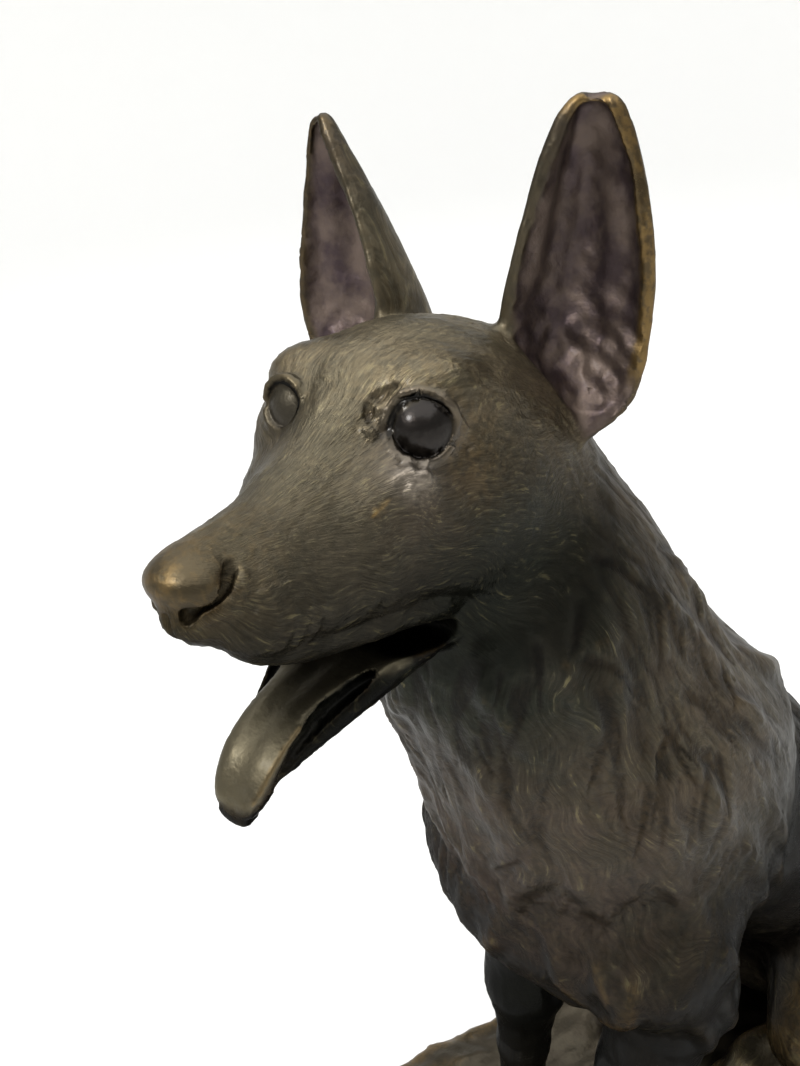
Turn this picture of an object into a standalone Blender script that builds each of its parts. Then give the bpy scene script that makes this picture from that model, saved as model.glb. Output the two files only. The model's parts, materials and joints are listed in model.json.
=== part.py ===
# A seated bronze dog on a low cast ground, one casting, modelled as a smooth clay figure.
# The figure is measured in hundredths of a life-size dog: one unit is one centimetre of a
# living dog that is FIGURE_UNITS tall from its paw soles to its ear tips.
import math

import bpy
import numpy as np

# Driving sizes, in metres
DOG_HEIGHT = 0.396
GROUND_THICKNESS = 0.025
GROUND_EDGE_ROUNDING = 0.008
EAR_WALL = 0.0023
TONGUE_THICKNESS = 0.0054

# The figure's own units
FIGURE_UNITS = 88.0
UNIT = DOG_HEIGHT / FIGURE_UNITS
FAR = 9.0

# Fineness of the clay grid in figure units, and the triangles that are kept
HEAD_STEP = 0.27
BODY_STEP = 0.55
TRIANGLES = 9800

# The grid's ends along each axis, and where it is fine, round the head
GRID_X = (-26.3, 26.0, -15.5, 8)
GRID_Y = (-27.0, 54.0, -24, 4)
GRID_TOP = (92.0, 58, 92)

# The head's own frame: its middle lies between the eyes; forward, left and up
HEAD_TURN = math.radians(16.5)
HEAD_LIFT = math.radians(14.4)
HEAD_ROLL = math.radians(0.7)
HEAD_MIDDLE = (-2.87, -10.56, 75.18)

# Half-width stations of an ear from its lobe to its tip
EAR_STATIONS = (-2.4, -1.4, -0.2, 1.2, 2.8, 4.8, 6.8, 8.8, 10.4, 11.4, 11.9)
NEAR_EAR_OUTER = (1.7, 2.9, 3.75, 4.0, 4.0, 3.88, 3.45, 2.8, 2.1, 1.45, 0.95)
NEAR_EAR_INNER = (1.0, -0.2, -1.3, -1.95, -2.2, -1.95, -1.6, -1.15, -0.65, -0.25, 0.05)
FAR_EAR_OUTER = (1.4, 2.45, 3.25, 3.65, 4.1, 3.85, 3.05, 2.15, 1.35, 0.8, 0.3)
FAR_EAR_INNER = (1.0, -0.3, -1.6, -2.4, -2.7, -2.5, -2.05, -1.45, -0.95, -0.6, -0.35)
EAR_DEPTH = (2.0, 3.2, 4.2, 4.6, 4.3, 3.6, 2.8, 1.95, 1.2, 0.75, 0.5)
NEAR_EAR_TOP = 11.6
FAR_EAR_TOP = 11.9
EAR_SCOOP = (0.3, 0.6, 1.1, 1.7, 2.0, 2.1, 2.0, 1.7, 1.2, 0.8, 0.4)
EAR_OPENING = math.radians(32)

# The eyes differ a little, as modelled by hand: each ball's middle, radius and lid opening
NEAR_EYE = ((0.5, 3.05, 0.1), 1.38, 1.13)
FAR_EYE = ((0.65, -1.95, 0.1), 1.52, 0.95)
EYE_LOOK = (0.82, 0.56, 0.1)
LID_WALL = 0.17

# A lid is a roll round the opening: how far outside it, its radius, and its ends in degrees
LIDS = ((0.27, 0.2, -80, 80), (0.2, 0.11, 100, 250))

# Grooves at the near eye's inner corner: path and radii
EYE_GROOVES = (
    (
        ((1.0, 3.5, 1.4), (1.56, 3.1, 1.33), (1.81, 2.75, 1.07),
         (1.99, 2.65, 0.71), (2.12, 2.53, 0.2), (2.25, 2.27, -0.14)),
        (0.08, 0.13, 0.22, 0.28, 0.26, 0.12),
    ),
    (
        ((1.4, 2.57, 1.7), (1.63, 2.01, 1.35), (1.95, 1.79, 0.85), (2.14, 1.83, 0.43)),
        (0.08, 0.2, 0.22, 0.13),
    ),
)

# The nostril's comma and the wing below it: path and radii
NOSTRIL = (
    ((9.05, 1.45, -3.2), (9.2, 1.42, -3.5), (9.42, 1.4, -3.9), (9.7, 1.22, -4.3),
     (10.1, 0.95, -4.52), (10.35, 0.7, -4.72), (10.42, 0.6, -4.98)),
    (0.1, 0.22, 0.29, 0.28, 0.22, 0.25, 0.14),
)
NOSTRIL_WING = (
    ((8.9, 1.62, -3.7), (9.15, 1.68, -4.2), (9.6, 1.5, -4.65), (10.1, 1.05, -4.95)),
    (0.1, 0.2, 0.2, 0.12),
)

# The hanging upper lip, and the slit between the tongue and the lower lip: path and radii
UPPER_LIP = (
    ((-1.0, 3.7, -7.25), (0.3, 3.45, -7.2), (2.0, 2.95, -7.1), (3.5, 2.5, -7.12),
     (5.5, 1.95, -6.98), (7.0, 1.7, -6.75), (8.2, 1.3, -6.4)),
    (0.45, 0.5, 0.55, 0.6, 0.65, 0.6, 0.5),
)
TONGUE_SLIT = (
    ((2.2, 2.3, -9.8), (3.2, 1.98, -10.0), (4.65, 1.6, -10.6), (6.1, 1.42, -11.4), (7.0, 1.3, -12.3)),
    (0.2, 0.3, 0.34, 0.3, 0.16),
)

# The tongue's middle line and half-widths
TONGUE_PATH = (
    (-1, 0, -9.3), (2.5, 0, -10.2), (5.0, 0.05, -10.7),
    (6.8, 0.05, -11.7), (7.55, -0.05, -12.9), (7.6, -0.2, -13.75),
)
TONGUE_HALF_WIDTHS = (1.9, 1.65, 1.45, 1.38, 1.2, 0.75)

# The tail's middle line and radii
TAIL_PATH = ((0, 39, 7), (5, 44.5, 3.2), (12, 44, 2.0), (16.6, 37.5, 1.8), (17.6, 30, 1.7), (17.2, 24, 1.4))
TAIL_RADII = (3.4, 3.3, 3.0, 2.6, 1.9, 0.9)

# A lock of hair from its root to its tip: how deep its middle lies, and its radius
LOCK_ROWS = 5
LOCKS_IN_ROW = 13
LOCK_LENGTH = 9.5
LOCK_DEPTHS = (0.6, 0.42, 0.36, 0.34, 0.3)
LOCK_RADII = (0.3, 0.75, 0.8, 0.6, 0.2)

# The ground's outline on plan
GROUND_OUTLINE = (
    (-2, -17.5), (-14, -15.5), (-21.2, -9), (-19.6, -1), (-16.6, 8), (-17.6, 20), (-17, 34),
    (-10, 45), (2, 49), (14, 47), (21, 38), (21.5, 24), (19.5, 8), (20.5, -5), (13, -15.5),
)
GROUND_MIDDLE = (0.0, 15.0)


def unit(vector):
    vector = np.asarray(vector, float)
    return vector / np.linalg.norm(vector)


def step(low, high, value):
    share = np.clip((value - low) / (high - low), 0, 1)
    return share * share * (3 - 2 * share)


def softMin(a, b, blend):
    share = np.clip(0.5 + 0.5 * (b - a) / blend, 0, 1)
    return b + (a - b) * share - blend * share * (1 - share)


def softMax(a, b, blend):
    return -softMin(-a, -b, blend)


def spline(points, closed=False, steps=10):
    """Catmull-Rom curve through the points."""
    points = np.asarray(points, float)
    count = len(points)
    spans = count if closed else count - 1
    out = []
    for i in range(spans):
        if closed:
            a, b, c, d = (points[(i + k) % count] for k in (-1, 0, 1, 2))
        else:
            a, b, c, d = (points[min(max(i + k, 0), count - 1)] for k in (-1, 0, 1, 2))
        for u in np.linspace(0, 1, steps, endpoint=False):
            cubic = (3 * b - 3 * c + d - a) * u ** 3
            square = (2 * a - 5 * b + 4 * c - d) * u * u
            out.append(0.5 * (2 * b + (c - a) * u + square + cubic))
    if not closed:
        out.append(points[-1])
    return np.array(out)


def frameAlong(direction, side=(1, 0, 0)):
    """Columns side, third and long, with the long axis along the direction."""
    long = unit(direction)
    side = np.asarray(side, float)
    side = unit(side - (side @ long) * long)
    return np.stack([side, np.cross(long, side), long], 1)


# Each shape is a signed distance function, its middle and its reach

def ellipsoid(middle, radii, turned=None):
    middle = np.asarray(middle, float)
    radii = np.asarray(radii, float)
    turned = np.eye(3) if turned is None else turned

    def distance(p):
        q = (p - middle) @ turned
        a = np.sqrt(((q / radii) ** 2).sum(-1))
        b = np.sqrt(((q / radii ** 2) ** 2).sum(-1))
        return a * (a - 1) / np.maximum(b, 1e-6)

    return distance, middle, float(radii.max())


def ball(middle, radius):
    middle = np.asarray(middle, float)

    def distance(p):
        return np.linalg.norm(p - middle, axis=-1) - radius

    return distance, middle, radius


def limb(start, end, startRadius, endRadius, flatten=None):
    """Round cone between two points; flatten is (direction, share)."""
    start = np.asarray(start, float)
    end = np.asarray(end, float)
    along = end - start
    length2 = along @ along
    slope = startRadius - endRadius
    a2 = length2 - slope * slope
    inverse = 1 / length2

    def distance(p):
        scale = 1.0
        if flatten is not None:
            axis = unit(flatten[0])
            scale = flatten[1]
            offset = (p - start) @ axis
            p = p + (offset / scale - offset)[..., None] * axis
        q = p - start
        y = q @ along
        z = y - length2
        x = q * length2 - y[..., None] * along
        x2 = (x * x).sum(-1)
        y2 = y * y * length2
        z2 = z * z * length2
        k = np.sign(slope) * slope * slope * x2
        out = (np.sqrt(x2 * a2 * inverse) + y * slope) * inverse - startRadius
        atEnd = np.sign(z) * a2 * z2 > k
        atStart = ~atEnd & (np.sign(y) * a2 * y2 < k)
        out = np.where(atEnd, np.sqrt(x2 + z2) * inverse - endRadius, out)
        out = np.where(atStart, np.sqrt(x2 + y2) * inverse - startRadius, out)
        return out * min(scale, 1.0)

    reach = float(np.linalg.norm(along) / 2 + max(startRadius, endRadius))
    if flatten is not None:
        reach = reach * max(1.0, flatten[1])
    return distance, (start + end) / 2, reach


def strap(points, halfWidths, halfThickness, edge=0.25, power=2.6, samples=48):
    """A flat tongue along points in one plane, wide across the second axis."""
    curve = spline(points, steps=max(2, samples // (len(points) - 1)))
    samples = len(curve)
    knots = np.linspace(0, len(points) - 1, samples)
    widths = np.interp(knots, range(len(points)), halfWidths)
    ahead = np.gradient(curve, axis=0)
    spacing = np.linalg.norm(ahead, axis=1)
    ahead = ahead / spacing[:, None]
    up = np.cross(ahead, (0, 1, 0))
    up = up / np.linalg.norm(up, axis=1)[:, None]
    across = np.cross(up, ahead)

    def distance(p):
        nearest = ((p[:, None, :] - curve[None]) ** 2).sum(-1).argmin(1)
        q = p - curve[nearest]
        run = (q * ahead[nearest]).sum(1)
        place = np.clip(nearest + run / spacing[nearest], 0, samples - 1)
        width = np.interp(place, range(samples), widths)
        x = (q * across[nearest]).sum(1)
        y = (q * up[nearest]).sum(1)
        past = ((nearest == 0) & (run < 0)) | ((nearest == samples - 1) & (run > 0))
        over = np.where(past, np.abs(run), 0)
        thick = halfThickness * (1 + edge * np.clip(np.abs(x) / width, 0, 1) ** 3)
        total = np.abs(x / width) ** power + np.abs(y / thick) ** power
        total = total + np.abs(over / thick) ** power
        return (total ** (1 / power) - 1) * np.minimum(width, thick)

    middle = curve.mean(0)
    reach = np.linalg.norm(curve - middle, axis=1).max() + max(halfWidths)
    return distance, middle, float(reach)


class Clay:
    """Shapes added and cut in order, each with the width over which it blends."""

    def __init__(self):
        self.steps = []

    def add(self, shape, blend=1.0, frame=None):
        self.steps.append((False, shape, blend, frame))

    def cut(self, shape, blend=0.3, frame=None):
        self.steps.append((True, shape, blend, frame))

    def reach(self, which):
        cuts, (distance, middle, reach), blend, frame = which
        if frame is not None:
            middle = frame[1] + frame[0] @ middle
        pad = reach + blend + 0.8
        return middle - pad, middle + pad

    def apply(self, which, p, field):
        cuts, (distance, middle, reach), blend, frame = which
        if frame is not None:
            p = (p - frame[1]) @ frame[0]
        value = distance(p)
        if cuts:
            return softMax(field, -value, blend)
        return softMin(field, value, blend)

    def at(self, p):
        field = np.full(len(p), FAR)
        for which in self.steps:
            low, high = self.reach(which)
            near = np.nonzero(((p > low) & (p < high)).all(1))[0]
            if len(near):
                field[near] = self.apply(which, p[near], field[near])
        return field

    def grid(self, axes):
        field = np.full([len(a) for a in axes], FAR, np.float32)
        for which in self.steps:
            low, high = self.reach(which)
            span = [slice(*np.searchsorted(a, (l, h))) for a, l, h in zip(axes, low, high)]
            block = field[tuple(span)]
            if block.size == 0:
                continue
            mesh = np.meshgrid(*[a[s] for a, s in zip(axes, span)], indexing="ij")
            p = np.stack([m.ravel() for m in mesh], 1)
            field[tuple(span)] = self.apply(which, p, block.ravel()).reshape(block.shape)
        return field

    def slope(self, p, reach=0.03):
        corners = np.array([(1, -1, -1), (-1, -1, 1), (-1, 1, -1), (1, 1, 1)], float)
        out = np.zeros_like(p)
        for corner in corners:
            out += self.at(p + corner * reach)[:, None] * corner
        return out / (4 * reach)

    def settle(self, p, rounds=2, most=0.12):
        for _ in range(rounds):
            slope = self.slope(p)
            size2 = np.maximum((slope * slope).sum(1), 0.05)
            move = -(self.at(p) / size2)[:, None] * slope
            length = np.linalg.norm(move, axis=1)
            p = p + move * np.minimum(1, most / np.maximum(length, 1e-9))[:, None]
        return p


def untangle(field):
    """Fills the corners where two sheets of the surface would meet in one cell."""
    filled = -0.01
    for _ in range(30):
        inside = field < 0
        changed = 0
        for axis in range(3):
            u, v = (axis + 1) % 3, (axis + 2) % 3
            place = []
            for du, dv in ((0, 0), (1, 0), (0, 1), (1, 1)):
                part = [slice(None)] * 3
                part[u] = slice(du, field.shape[u] - 1 + du)
                part[v] = slice(dv, field.shape[v] - 1 + dv)
                place.append(inside[tuple(part)])
            a, b, c, d = place
            crossings = ((a & d & ~b & ~c, (1, 0), (0, 1)), (b & c & ~a & ~d, (0, 0), (1, 1)))
            for bad, first, second in crossings:
                at = np.argwhere(bad)
                if len(at) == 0:
                    continue
                one, two = at.copy(), at.copy()
                one[:, u] += first[0]
                one[:, v] += first[1]
                two[:, u] += second[0]
                two[:, v] += second[1]
                nearer = field[tuple(one.T)] < field[tuple(two.T)]
                chosen = np.where(nearer[:, None], one, two)
                field[tuple(chosen.T)] = filled
                changed += len(at)
        inside = field < 0
        corner = {}
        shape = np.array(field.shape)
        for i in (0, 1):
            for j in (0, 1):
                for k in (0, 1):
                    corner[i, j, k] = inside[i:shape[0] - 1 + i, j:shape[1] - 1 + j, k:shape[2] - 1 + k]
        total = sum(c.astype(np.int8) for c in corner.values())
        for i, j, k in ((0, 0, 0), (1, 0, 0), (0, 1, 0), (0, 0, 1)):
            first, second = corner[i, j, k], corner[1 - i, 1 - j, 1 - k]
            apart = (total == 6) & ~first & ~second
            at = np.argwhere(apart) + (i, j, k)
            field[tuple(at.T)] = filled
            changed += len(at)
            joined = (total == 2) & first & second
            at = np.argwhere(joined) + (1 - i, j, k)
            field[tuple(at.T)] = filled
            changed += len(at)
        if changed == 0:
            break
    return field


def largestPart(points, quads):
    label = np.arange(len(points))
    edges = np.concatenate([quads[:, [0, 1]], quads[:, [1, 2]], quads[:, [2, 3]]])
    while True:
        lowest = np.minimum(label[edges[:, 0]], label[edges[:, 1]])
        joined = label.copy()
        np.minimum.at(joined, edges[:, 0], lowest)
        np.minimum.at(joined, edges[:, 1], lowest)
        joined = joined[joined]
        if (joined == label).all():
            break
        label = joined
    names, counts = np.unique(label, return_counts=True)
    kept = label == names[counts.argmax()]
    index = np.cumsum(kept) - 1
    return points[kept], index[quads[kept[quads[:, 0]]]]


def surfaceNet(axes, field):
    """One point in each cell that the surface crosses, and a quad round each crossed edge."""
    inside = field < 0
    shape = np.array(field.shape)
    total = np.zeros(shape - 1, np.int8)
    for i in (0, 1):
        for j in (0, 1):
            for k in (0, 1):
                total += inside[i:shape[0] - 1 + i, j:shape[1] - 1 + j, k:shape[2] - 1 + k]
    cells = np.argwhere((total > 0) & (total < 8))
    index = np.full(shape - 1, -1, np.int32)
    index[tuple(cells.T)] = np.arange(len(cells))
    points = np.zeros((len(cells), 3))
    weight = np.zeros(len(cells))
    corners = [np.array((i, j, k)) for i in (0, 1) for j in (0, 1) for k in (0, 1)]
    for a in corners:
        for axis in range(3):
            if a[axis]:
                continue
            b = a.copy()
            b[axis] = 1
            va = field[tuple((cells + a).T)].astype(float)
            vb = field[tuple((cells + b).T)].astype(float)
            crossed = (va < 0) != (vb < 0)
            share = np.where(crossed, va / np.where(crossed, va - vb, 1), 0)
            for i in range(3):
                first = axes[i][cells[:, i] + a[i]]
                second = axes[i][cells[:, i] + b[i]]
                points[:, i] += np.where(crossed, first + share * (second - first), 0)
            weight += crossed
    points = points / weight[:, None]
    quads = []
    for axis in range(3):
        u, v = (axis + 1) % 3, (axis + 2) % 3
        low = [slice(1, -1)] * 3
        low[axis] = slice(0, -1)
        high = list(low)
        high[axis] = slice(1, None)
        first, second = inside[tuple(low)], inside[tuple(high)]
        at = np.argwhere(first != second)
        at[:, u] += 1
        at[:, v] += 1
        outward = inside[tuple(at.T)]
        ring = []
        for du, dv in ((-1, -1), (0, -1), (0, 0), (-1, 0)):
            cell = at.copy()
            cell[:, u] += du
            cell[:, v] += dv
            ring.append(index[tuple(cell.T)])
        quad = np.stack(ring, 1)
        quad[~outward] = quad[~outward][:, ::-1]
        quads.append(quad)
    return points, np.concatenate(quads)


def headFrame():
    level = np.array([math.sin(HEAD_TURN), -math.cos(HEAD_TURN), 0])
    ahead = level * math.cos(HEAD_LIFT) + np.array([0, 0, math.sin(HEAD_LIFT)])
    left = unit(np.cross((0, 0, 1), ahead))
    left = left * math.cos(HEAD_ROLL) + np.cross(ahead, left) * math.sin(HEAD_ROLL)
    return np.stack([ahead, left, np.cross(ahead, left)], 1), np.array(HEAD_MIDDLE)


def joined(shapes):
    """One shape out of several, with no blend between them."""
    middle = np.mean([shape[1] for shape in shapes], axis=0)
    reach = max(np.linalg.norm(shape[1] - middle) + shape[2] for shape in shapes)

    def distance(p):
        return np.min([shape[0](p) for shape in shapes], axis=0)

    return distance, middle, float(reach)


def chain(path, radii, side=1):
    """Limbs along a smooth path, mirrored to the head's other side where side is -1."""
    path = spline(np.array(path) * (1, side, 1), steps=3)
    radii = np.interp(np.linspace(0, 1, len(path)), np.linspace(0, 1, len(radii)), radii)
    return [limb(a, b, r, s) for a, b, r, s in zip(path, path[1:], radii, radii[1:])]


def addTrunk(clay):
    clay.add(ellipsoid((0, 5.2, 46), (8.6, 10.2, 15), frameAlong((0, 0.62, -0.78))), 1)
    clay.add(limb((0, 13, 39.5), (0, 26, 23), 9.0, 9.4), 4)
    clay.add(ellipsoid((0, 31, 12.2), (10.2, 10.5, 11.7)), 4)
    clay.add(ellipsoid((-0.6, -1.3, 43), (7.2, 6.9, 8.6)), 3)
    clay.add(ellipsoid((-0.4, 1.0, 37.8), (6.6, 5.6, 6.6)), 2.5)
    clay.add(limb((0, 0.6, 53), (-2.2, -2.7, 62), 9.4, 7.8), 3)
    clay.add(limb((-2.2, -2.7, 62), (-4.2, -4.0, 69.5), 7.8, 6.4), 2)
    clay.add(ellipsoid((-1.9, -3.4, 53.5), (6.2, 4.6, 8.5), frameAlong((0.1, -0.15, 1))), 3)


def addForeleg(clay, side):
    clay.add(ellipsoid((side * 6.2, 3.0, 46.5), (3.2, 5.4, 10.5), frameAlong((side * 0.1, -0.6, -0.78))), 3)
    clay.add(limb((side * 5.7, -2.2, 42.5), (side * 6.1, 2.2, 34.6), 4.2, 3.5), 2.5)
    clay.add(ellipsoid((side * 6.4, 4.8, 33.4), (1.5, 1.7, 2.2)), 1.5)
    clay.add(limb((side * 5.7, 0.8, 33), (side * 5.2, -0.2, 25), 3.8, 3.1, ((1, 0, 0), 0.92)), 2)
    clay.add(limb((side * 5.2, -0.2, 25), (side * 5.3, -1.0, 17), 3.1, 2.0, ((1, 0, 0), 0.92)), 1.5)
    clay.add(limb((side * 5.3, -1.0, 17), (side * 5.3, -1.5, 11), 2.0, 1.75), 1)
    clay.add(ellipsoid((side * 5.3, -1.6, 10.3), (1.95, 2.3, 2.6)), 1)
    clay.add(limb((side * 5.3, -1.6, 10.3), (side * 5.4, -3.2, 4.0), 1.95, 2.1), 1)
    addPaw(clay, side * 5.5, -5.2, 1.0)


def addPaw(clay, x, y, size):
    clay.add(ellipsoid((x, y, 1.9 * size), (3.1 * size, 4.3 * size, 2.4 * size)), 1)
    for place in (-1.5, -0.5, 0.5, 1.5):
        forward = 3.9 - 0.45 * abs(place)
        toe = (x + place * 1.62 * size, y - forward * size, 1.6 * size)
        clay.add(ellipsoid(toe, (1.0 * size, 2.0 * size, 1.55 * size)), 0.35)


def addHindLeg(clay, side):
    clay.add(ellipsoid((side * 9.0, 27, 15), (4.8, 10.8, 10.3), frameAlong((0, 0.25, 1))), 2.5)
    clay.add(limb((side * 9.0, 27, 16.5), (side * 9.2, 18, 12.6), 7.3, 3.6, ((1, 0, 0), 0.75)), 2)
    clay.add(limb((side * 9.8, 32, 4.3), (side * 6.9, 21, 3.0), 2.8, 2.4), 1.2)
    addPaw(clay, side * 6.2, 18.5, 1.0)


def addTail(clay):
    for piece in chain(TAIL_PATH, TAIL_RADII):
        clay.add(piece, 1.2)


def ground():
    """A slab with a soft top that rises and falls a little, and a flat underside."""
    thickness = GROUND_THICKNESS / UNIT
    rounding = GROUND_EDGE_ROUNDING / UNIT
    rim = spline(GROUND_OUTLINE, closed=True) - GROUND_MIDDLE
    angles = np.arctan2(rim[:, 1], rim[:, 0])
    order = np.argsort(angles)
    angles = angles[order]
    radii = np.hypot(rim[:, 0], rim[:, 1])[order]

    def distance(p):
        q = p[:, :2] - GROUND_MIDDLE
        edge = np.interp(np.arctan2(q[:, 1], q[:, 0]), angles, radii, period=2 * math.pi)
        out = np.hypot(q[:, 0], q[:, 1]) - edge
        x, y = p[:, 0], p[:, 1]
        swell = 0.35 * np.sin(x * 0.31 + 0.4) * np.cos(y * 0.27) + 0.25 * np.sin(x * 0.53 - y * 0.41 + 1)
        top = p[:, 2] - (swell - 0.4 - 1.5 * step(-9, 0, out))
        body = softMax(out * 0.93, top, rounding)
        return softMax(body, -(p[:, 2] + thickness), 0.25)

    return distance, np.array([*GROUND_MIDDLE, -thickness / 2]), 42.0


def addSkull(clay, head):
    def put(shape, blend=1.0):
        clay.add(shape, blend, head)

    put(ellipsoid((-5.2, 0, -0.9), (6.9, 5.6, 4.9)), 2.0)
    put(ellipsoid((-2.5, 0, 0.5), (4.2, 4.3, 2.8)), 1.5)
    put(limb((-0.5, 0, -0.4), (4.2, 0, -2.6), 2.3, 1.6), 2.0)
    put(ellipsoid((-0.2, -3.0, -0.4), (1.8, 1.8, 1.6)))
    put(ellipsoid((0.4, -3.05, -1.1), (1.5, 1.5, 1.4)))
    put(ellipsoid((0.3, 3.0, -2.0), (2.1, 1.6, 1.6)), 1.5)
    put(ball((1.88, 3.7, -1.6), 0.6), 0.5)
    for side in (1, -1):
        put(ellipsoid((-0.5, side * 2.9, 1.6), (1.7, 1.6, 1.2)))
        put(ellipsoid((-2.8, side * 3.6, 0.7), (2.6, 1.4, 1.5)), 1.5)
        put(ellipsoid((-3.6, side * 4.0, -4.0), (4.4, 2.3, 3.6)), 2.0)
        put(ellipsoid((0.8, side * 2.5, -3.4), (3.4, 1.7, 2.4)), 1.5)
        put(limb((-0.5, side * 2.35, -5.4), (7.8, side * 1.15, -5.5), 2.2, 1.65))
    put(limb((-0.5, 0, -3.4), (9.0, 0, -4.2), 3.0, 1.57), 1.2)
    put(ellipsoid((9.95, 0, -3.95), (1.05, 1.38, 0.72)), 0.8)
    put(ellipsoid((9.25, 0, -5.25), (1.35, 1.15, 0.92)), 0.6)
    put(limb((10.2, 0, -4.2), (10.0, 0, -5.2), 0.5, 0.55), 0.4)


def addMouth(clay, head):
    """Lower jaw, the hollow of the mouth, the hanging lips and the tongue."""
    for side in (1, -1):
        clay.add(limb((-2.5, side * 2.9, -8.0), (6.6, side * 0.7, -12.25), 1.5, 0.55), 1.0, head)
    clay.add(limb((-3, 0, -8.5), (6.0, 0, -12.15), 1.5, 0.55), 1.0, head)
    clay.cut(limb((-1.3, 0, -8.0), (8.5, 0, -9.8), 0.3, 1.9, ((0, 1, 0), 3.2)), 0.4, head)
    for side in (1, -1):
        for piece in chain(*UPPER_LIP, side):
            clay.add(piece, 0.5, head)
    for side in (1, -1):
        corner = limb((-1.0, side * 3.2, -8.65), (3.5, side * 1.7, -9.0), 0.6, 0.85, ((0, 1, 0), 2.2))
        clay.cut(corner, 0.25, head)
    thick = TONGUE_THICKNESS / UNIT / 2
    clay.add(strap(TONGUE_PATH, TONGUE_HALF_WIDTHS, thick), 0.25, head)
    for side in (1, -1):
        for piece in chain(*TONGUE_SLIT, side):
            clay.cut(piece, 0.12, head)


def addNostril(clay, head, side):
    for piece in chain(*NOSTRIL, side):
        clay.cut(piece, 0.15, head)
    for piece in chain(*NOSTRIL_WING, side):
        clay.add(piece, 0.25, head)


def addEye(clay, head, side):
    """A ball wrapped by its lids, which leave a round opening."""
    middle, radius, opening = NEAR_EYE if side > 0 else FAR_EYE
    middle = np.array(middle)
    look = unit(EYE_LOOK) * (1, side, 1)
    up = unit(np.array((0, 0, 1)) - look[2] * look)
    out = np.cross(up, look) * side
    outer = radius + LID_WALL
    clay.add(ball(middle - look * 0.12, outer), 0.5, head)
    depth = math.sqrt(radius * radius - opening * opening)
    lifted = middle + 0.06 * up
    clay.cut(limb(lifted + look * depth, lifted + look * 3.0, opening, opening * 1.4), 0.12, head)
    for gap, thick, start, end in LIDS:
        size = opening + gap
        angles = np.radians(np.linspace(start, end, 7))[:, None]
        ring = middle + look * math.sqrt(outer ** 2 - size ** 2)
        ring = ring + size * (np.cos(angles) * up + np.sin(angles) * out)
        for piece in chain(ring, (0.3 * thick, thick, thick, thick, 0.3 * thick)):
            clay.add(piece, 0.15, head)
    if side > 0:
        for path, radii in EYE_GROOVES:
            for piece in chain(path, radii):
                clay.cut(piece, 0.1, head)
    clay.add(ball(middle, radius), 0.03, head)


def ear(side):
    """A cupped leaf: the back half of an oval cone, with a scoop taken out of its front."""
    base = np.array([-7.0, side * 4.9, 1.0])
    tip = np.array([-6.2, side * (6.1 if side > 0 else 6.7), 12.6])
    up = unit(tip - base)
    front = np.array([math.cos(EAR_OPENING), side * math.sin(EAR_OPENING), 0])
    front = unit(front - (front @ up) * up)
    out = np.cross(front, up)
    out = out * math.copysign(1, out[1] * side)
    turned = np.stack([out, front, up], 1)
    edges = (NEAR_EAR_OUTER, NEAR_EAR_INNER) if side > 0 else (FAR_EAR_OUTER, FAR_EAR_INNER)
    plan = np.stack([EAR_STATIONS, *edges, EAR_DEPTH, EAR_SCOOP], 1)
    stations, outer, inner, deep, scoop = spline(plan, steps=4).T
    wall = EAR_WALL / UNIT
    top = NEAR_EAR_TOP if side > 0 else FAR_EAR_TOP

    def leaf(q, inset):
        half = np.interp(q[:, 2], stations, (outer - inner) / 2) - inset
        depth = np.interp(q[:, 2], stations, deep) - inset
        half = np.maximum(half, 0.08)
        depth = np.maximum(depth, 0.08)
        x = q[:, 0] - np.interp(q[:, 2], stations, (outer + inner) / 2)
        return (np.sqrt((x / half) ** 2 + (q[:, 1] / depth) ** 2) - 1) * np.minimum(half, depth)

    def scooped(q, rim):
        half = np.maximum(np.interp(q[:, 2], stations, (outer - inner) / 2) - wall, 0.08)
        share = (q[:, 0] - np.interp(q[:, 2], stations, (outer + inner) / 2)) / half
        depth = np.interp(q[:, 2], stations, scoop) * (1 - np.minimum(share * share, 1.5))
        return -0.8 * (q[:, 1] - rim + depth)

    def distance(p):
        q = (p - base) @ turned
        rim = 0.25 + 0.22 * q[:, 0]
        solid = softMax(leaf(q, 0.0), q[:, 1] - rim, 0.35)
        solid = softMax(solid, q[:, 2] - top, 0.5)
        solid = softMax(solid, -(q[:, 2] + 2.2), 0.5)
        cup = softMax(np.maximum(leaf(q, wall), scooped(q, rim)), -(q[:, 2] + 0.9), 1.2)
        return softMax(solid, -cup, 0.25)

    return distance, base + turned @ np.array([0, 0, 4.5]), 10.5


def surfaceFrom(clay, start, direction, far=16.0):
    """The first point outside the clay along a ray from inside, and the way out there."""
    start = np.asarray(start, float)
    direction = unit(direction)
    runs = np.linspace(0, far, 161)
    field = clay.at(start + runs[:, None] * direction)
    outside = np.nonzero(field > 0)[0]
    run = runs[outside[0]] if len(outside) else far
    point = clay.settle((start + run * direction)[None], 3)[0]
    return point, unit(clay.slope(point[None])[0])


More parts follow.
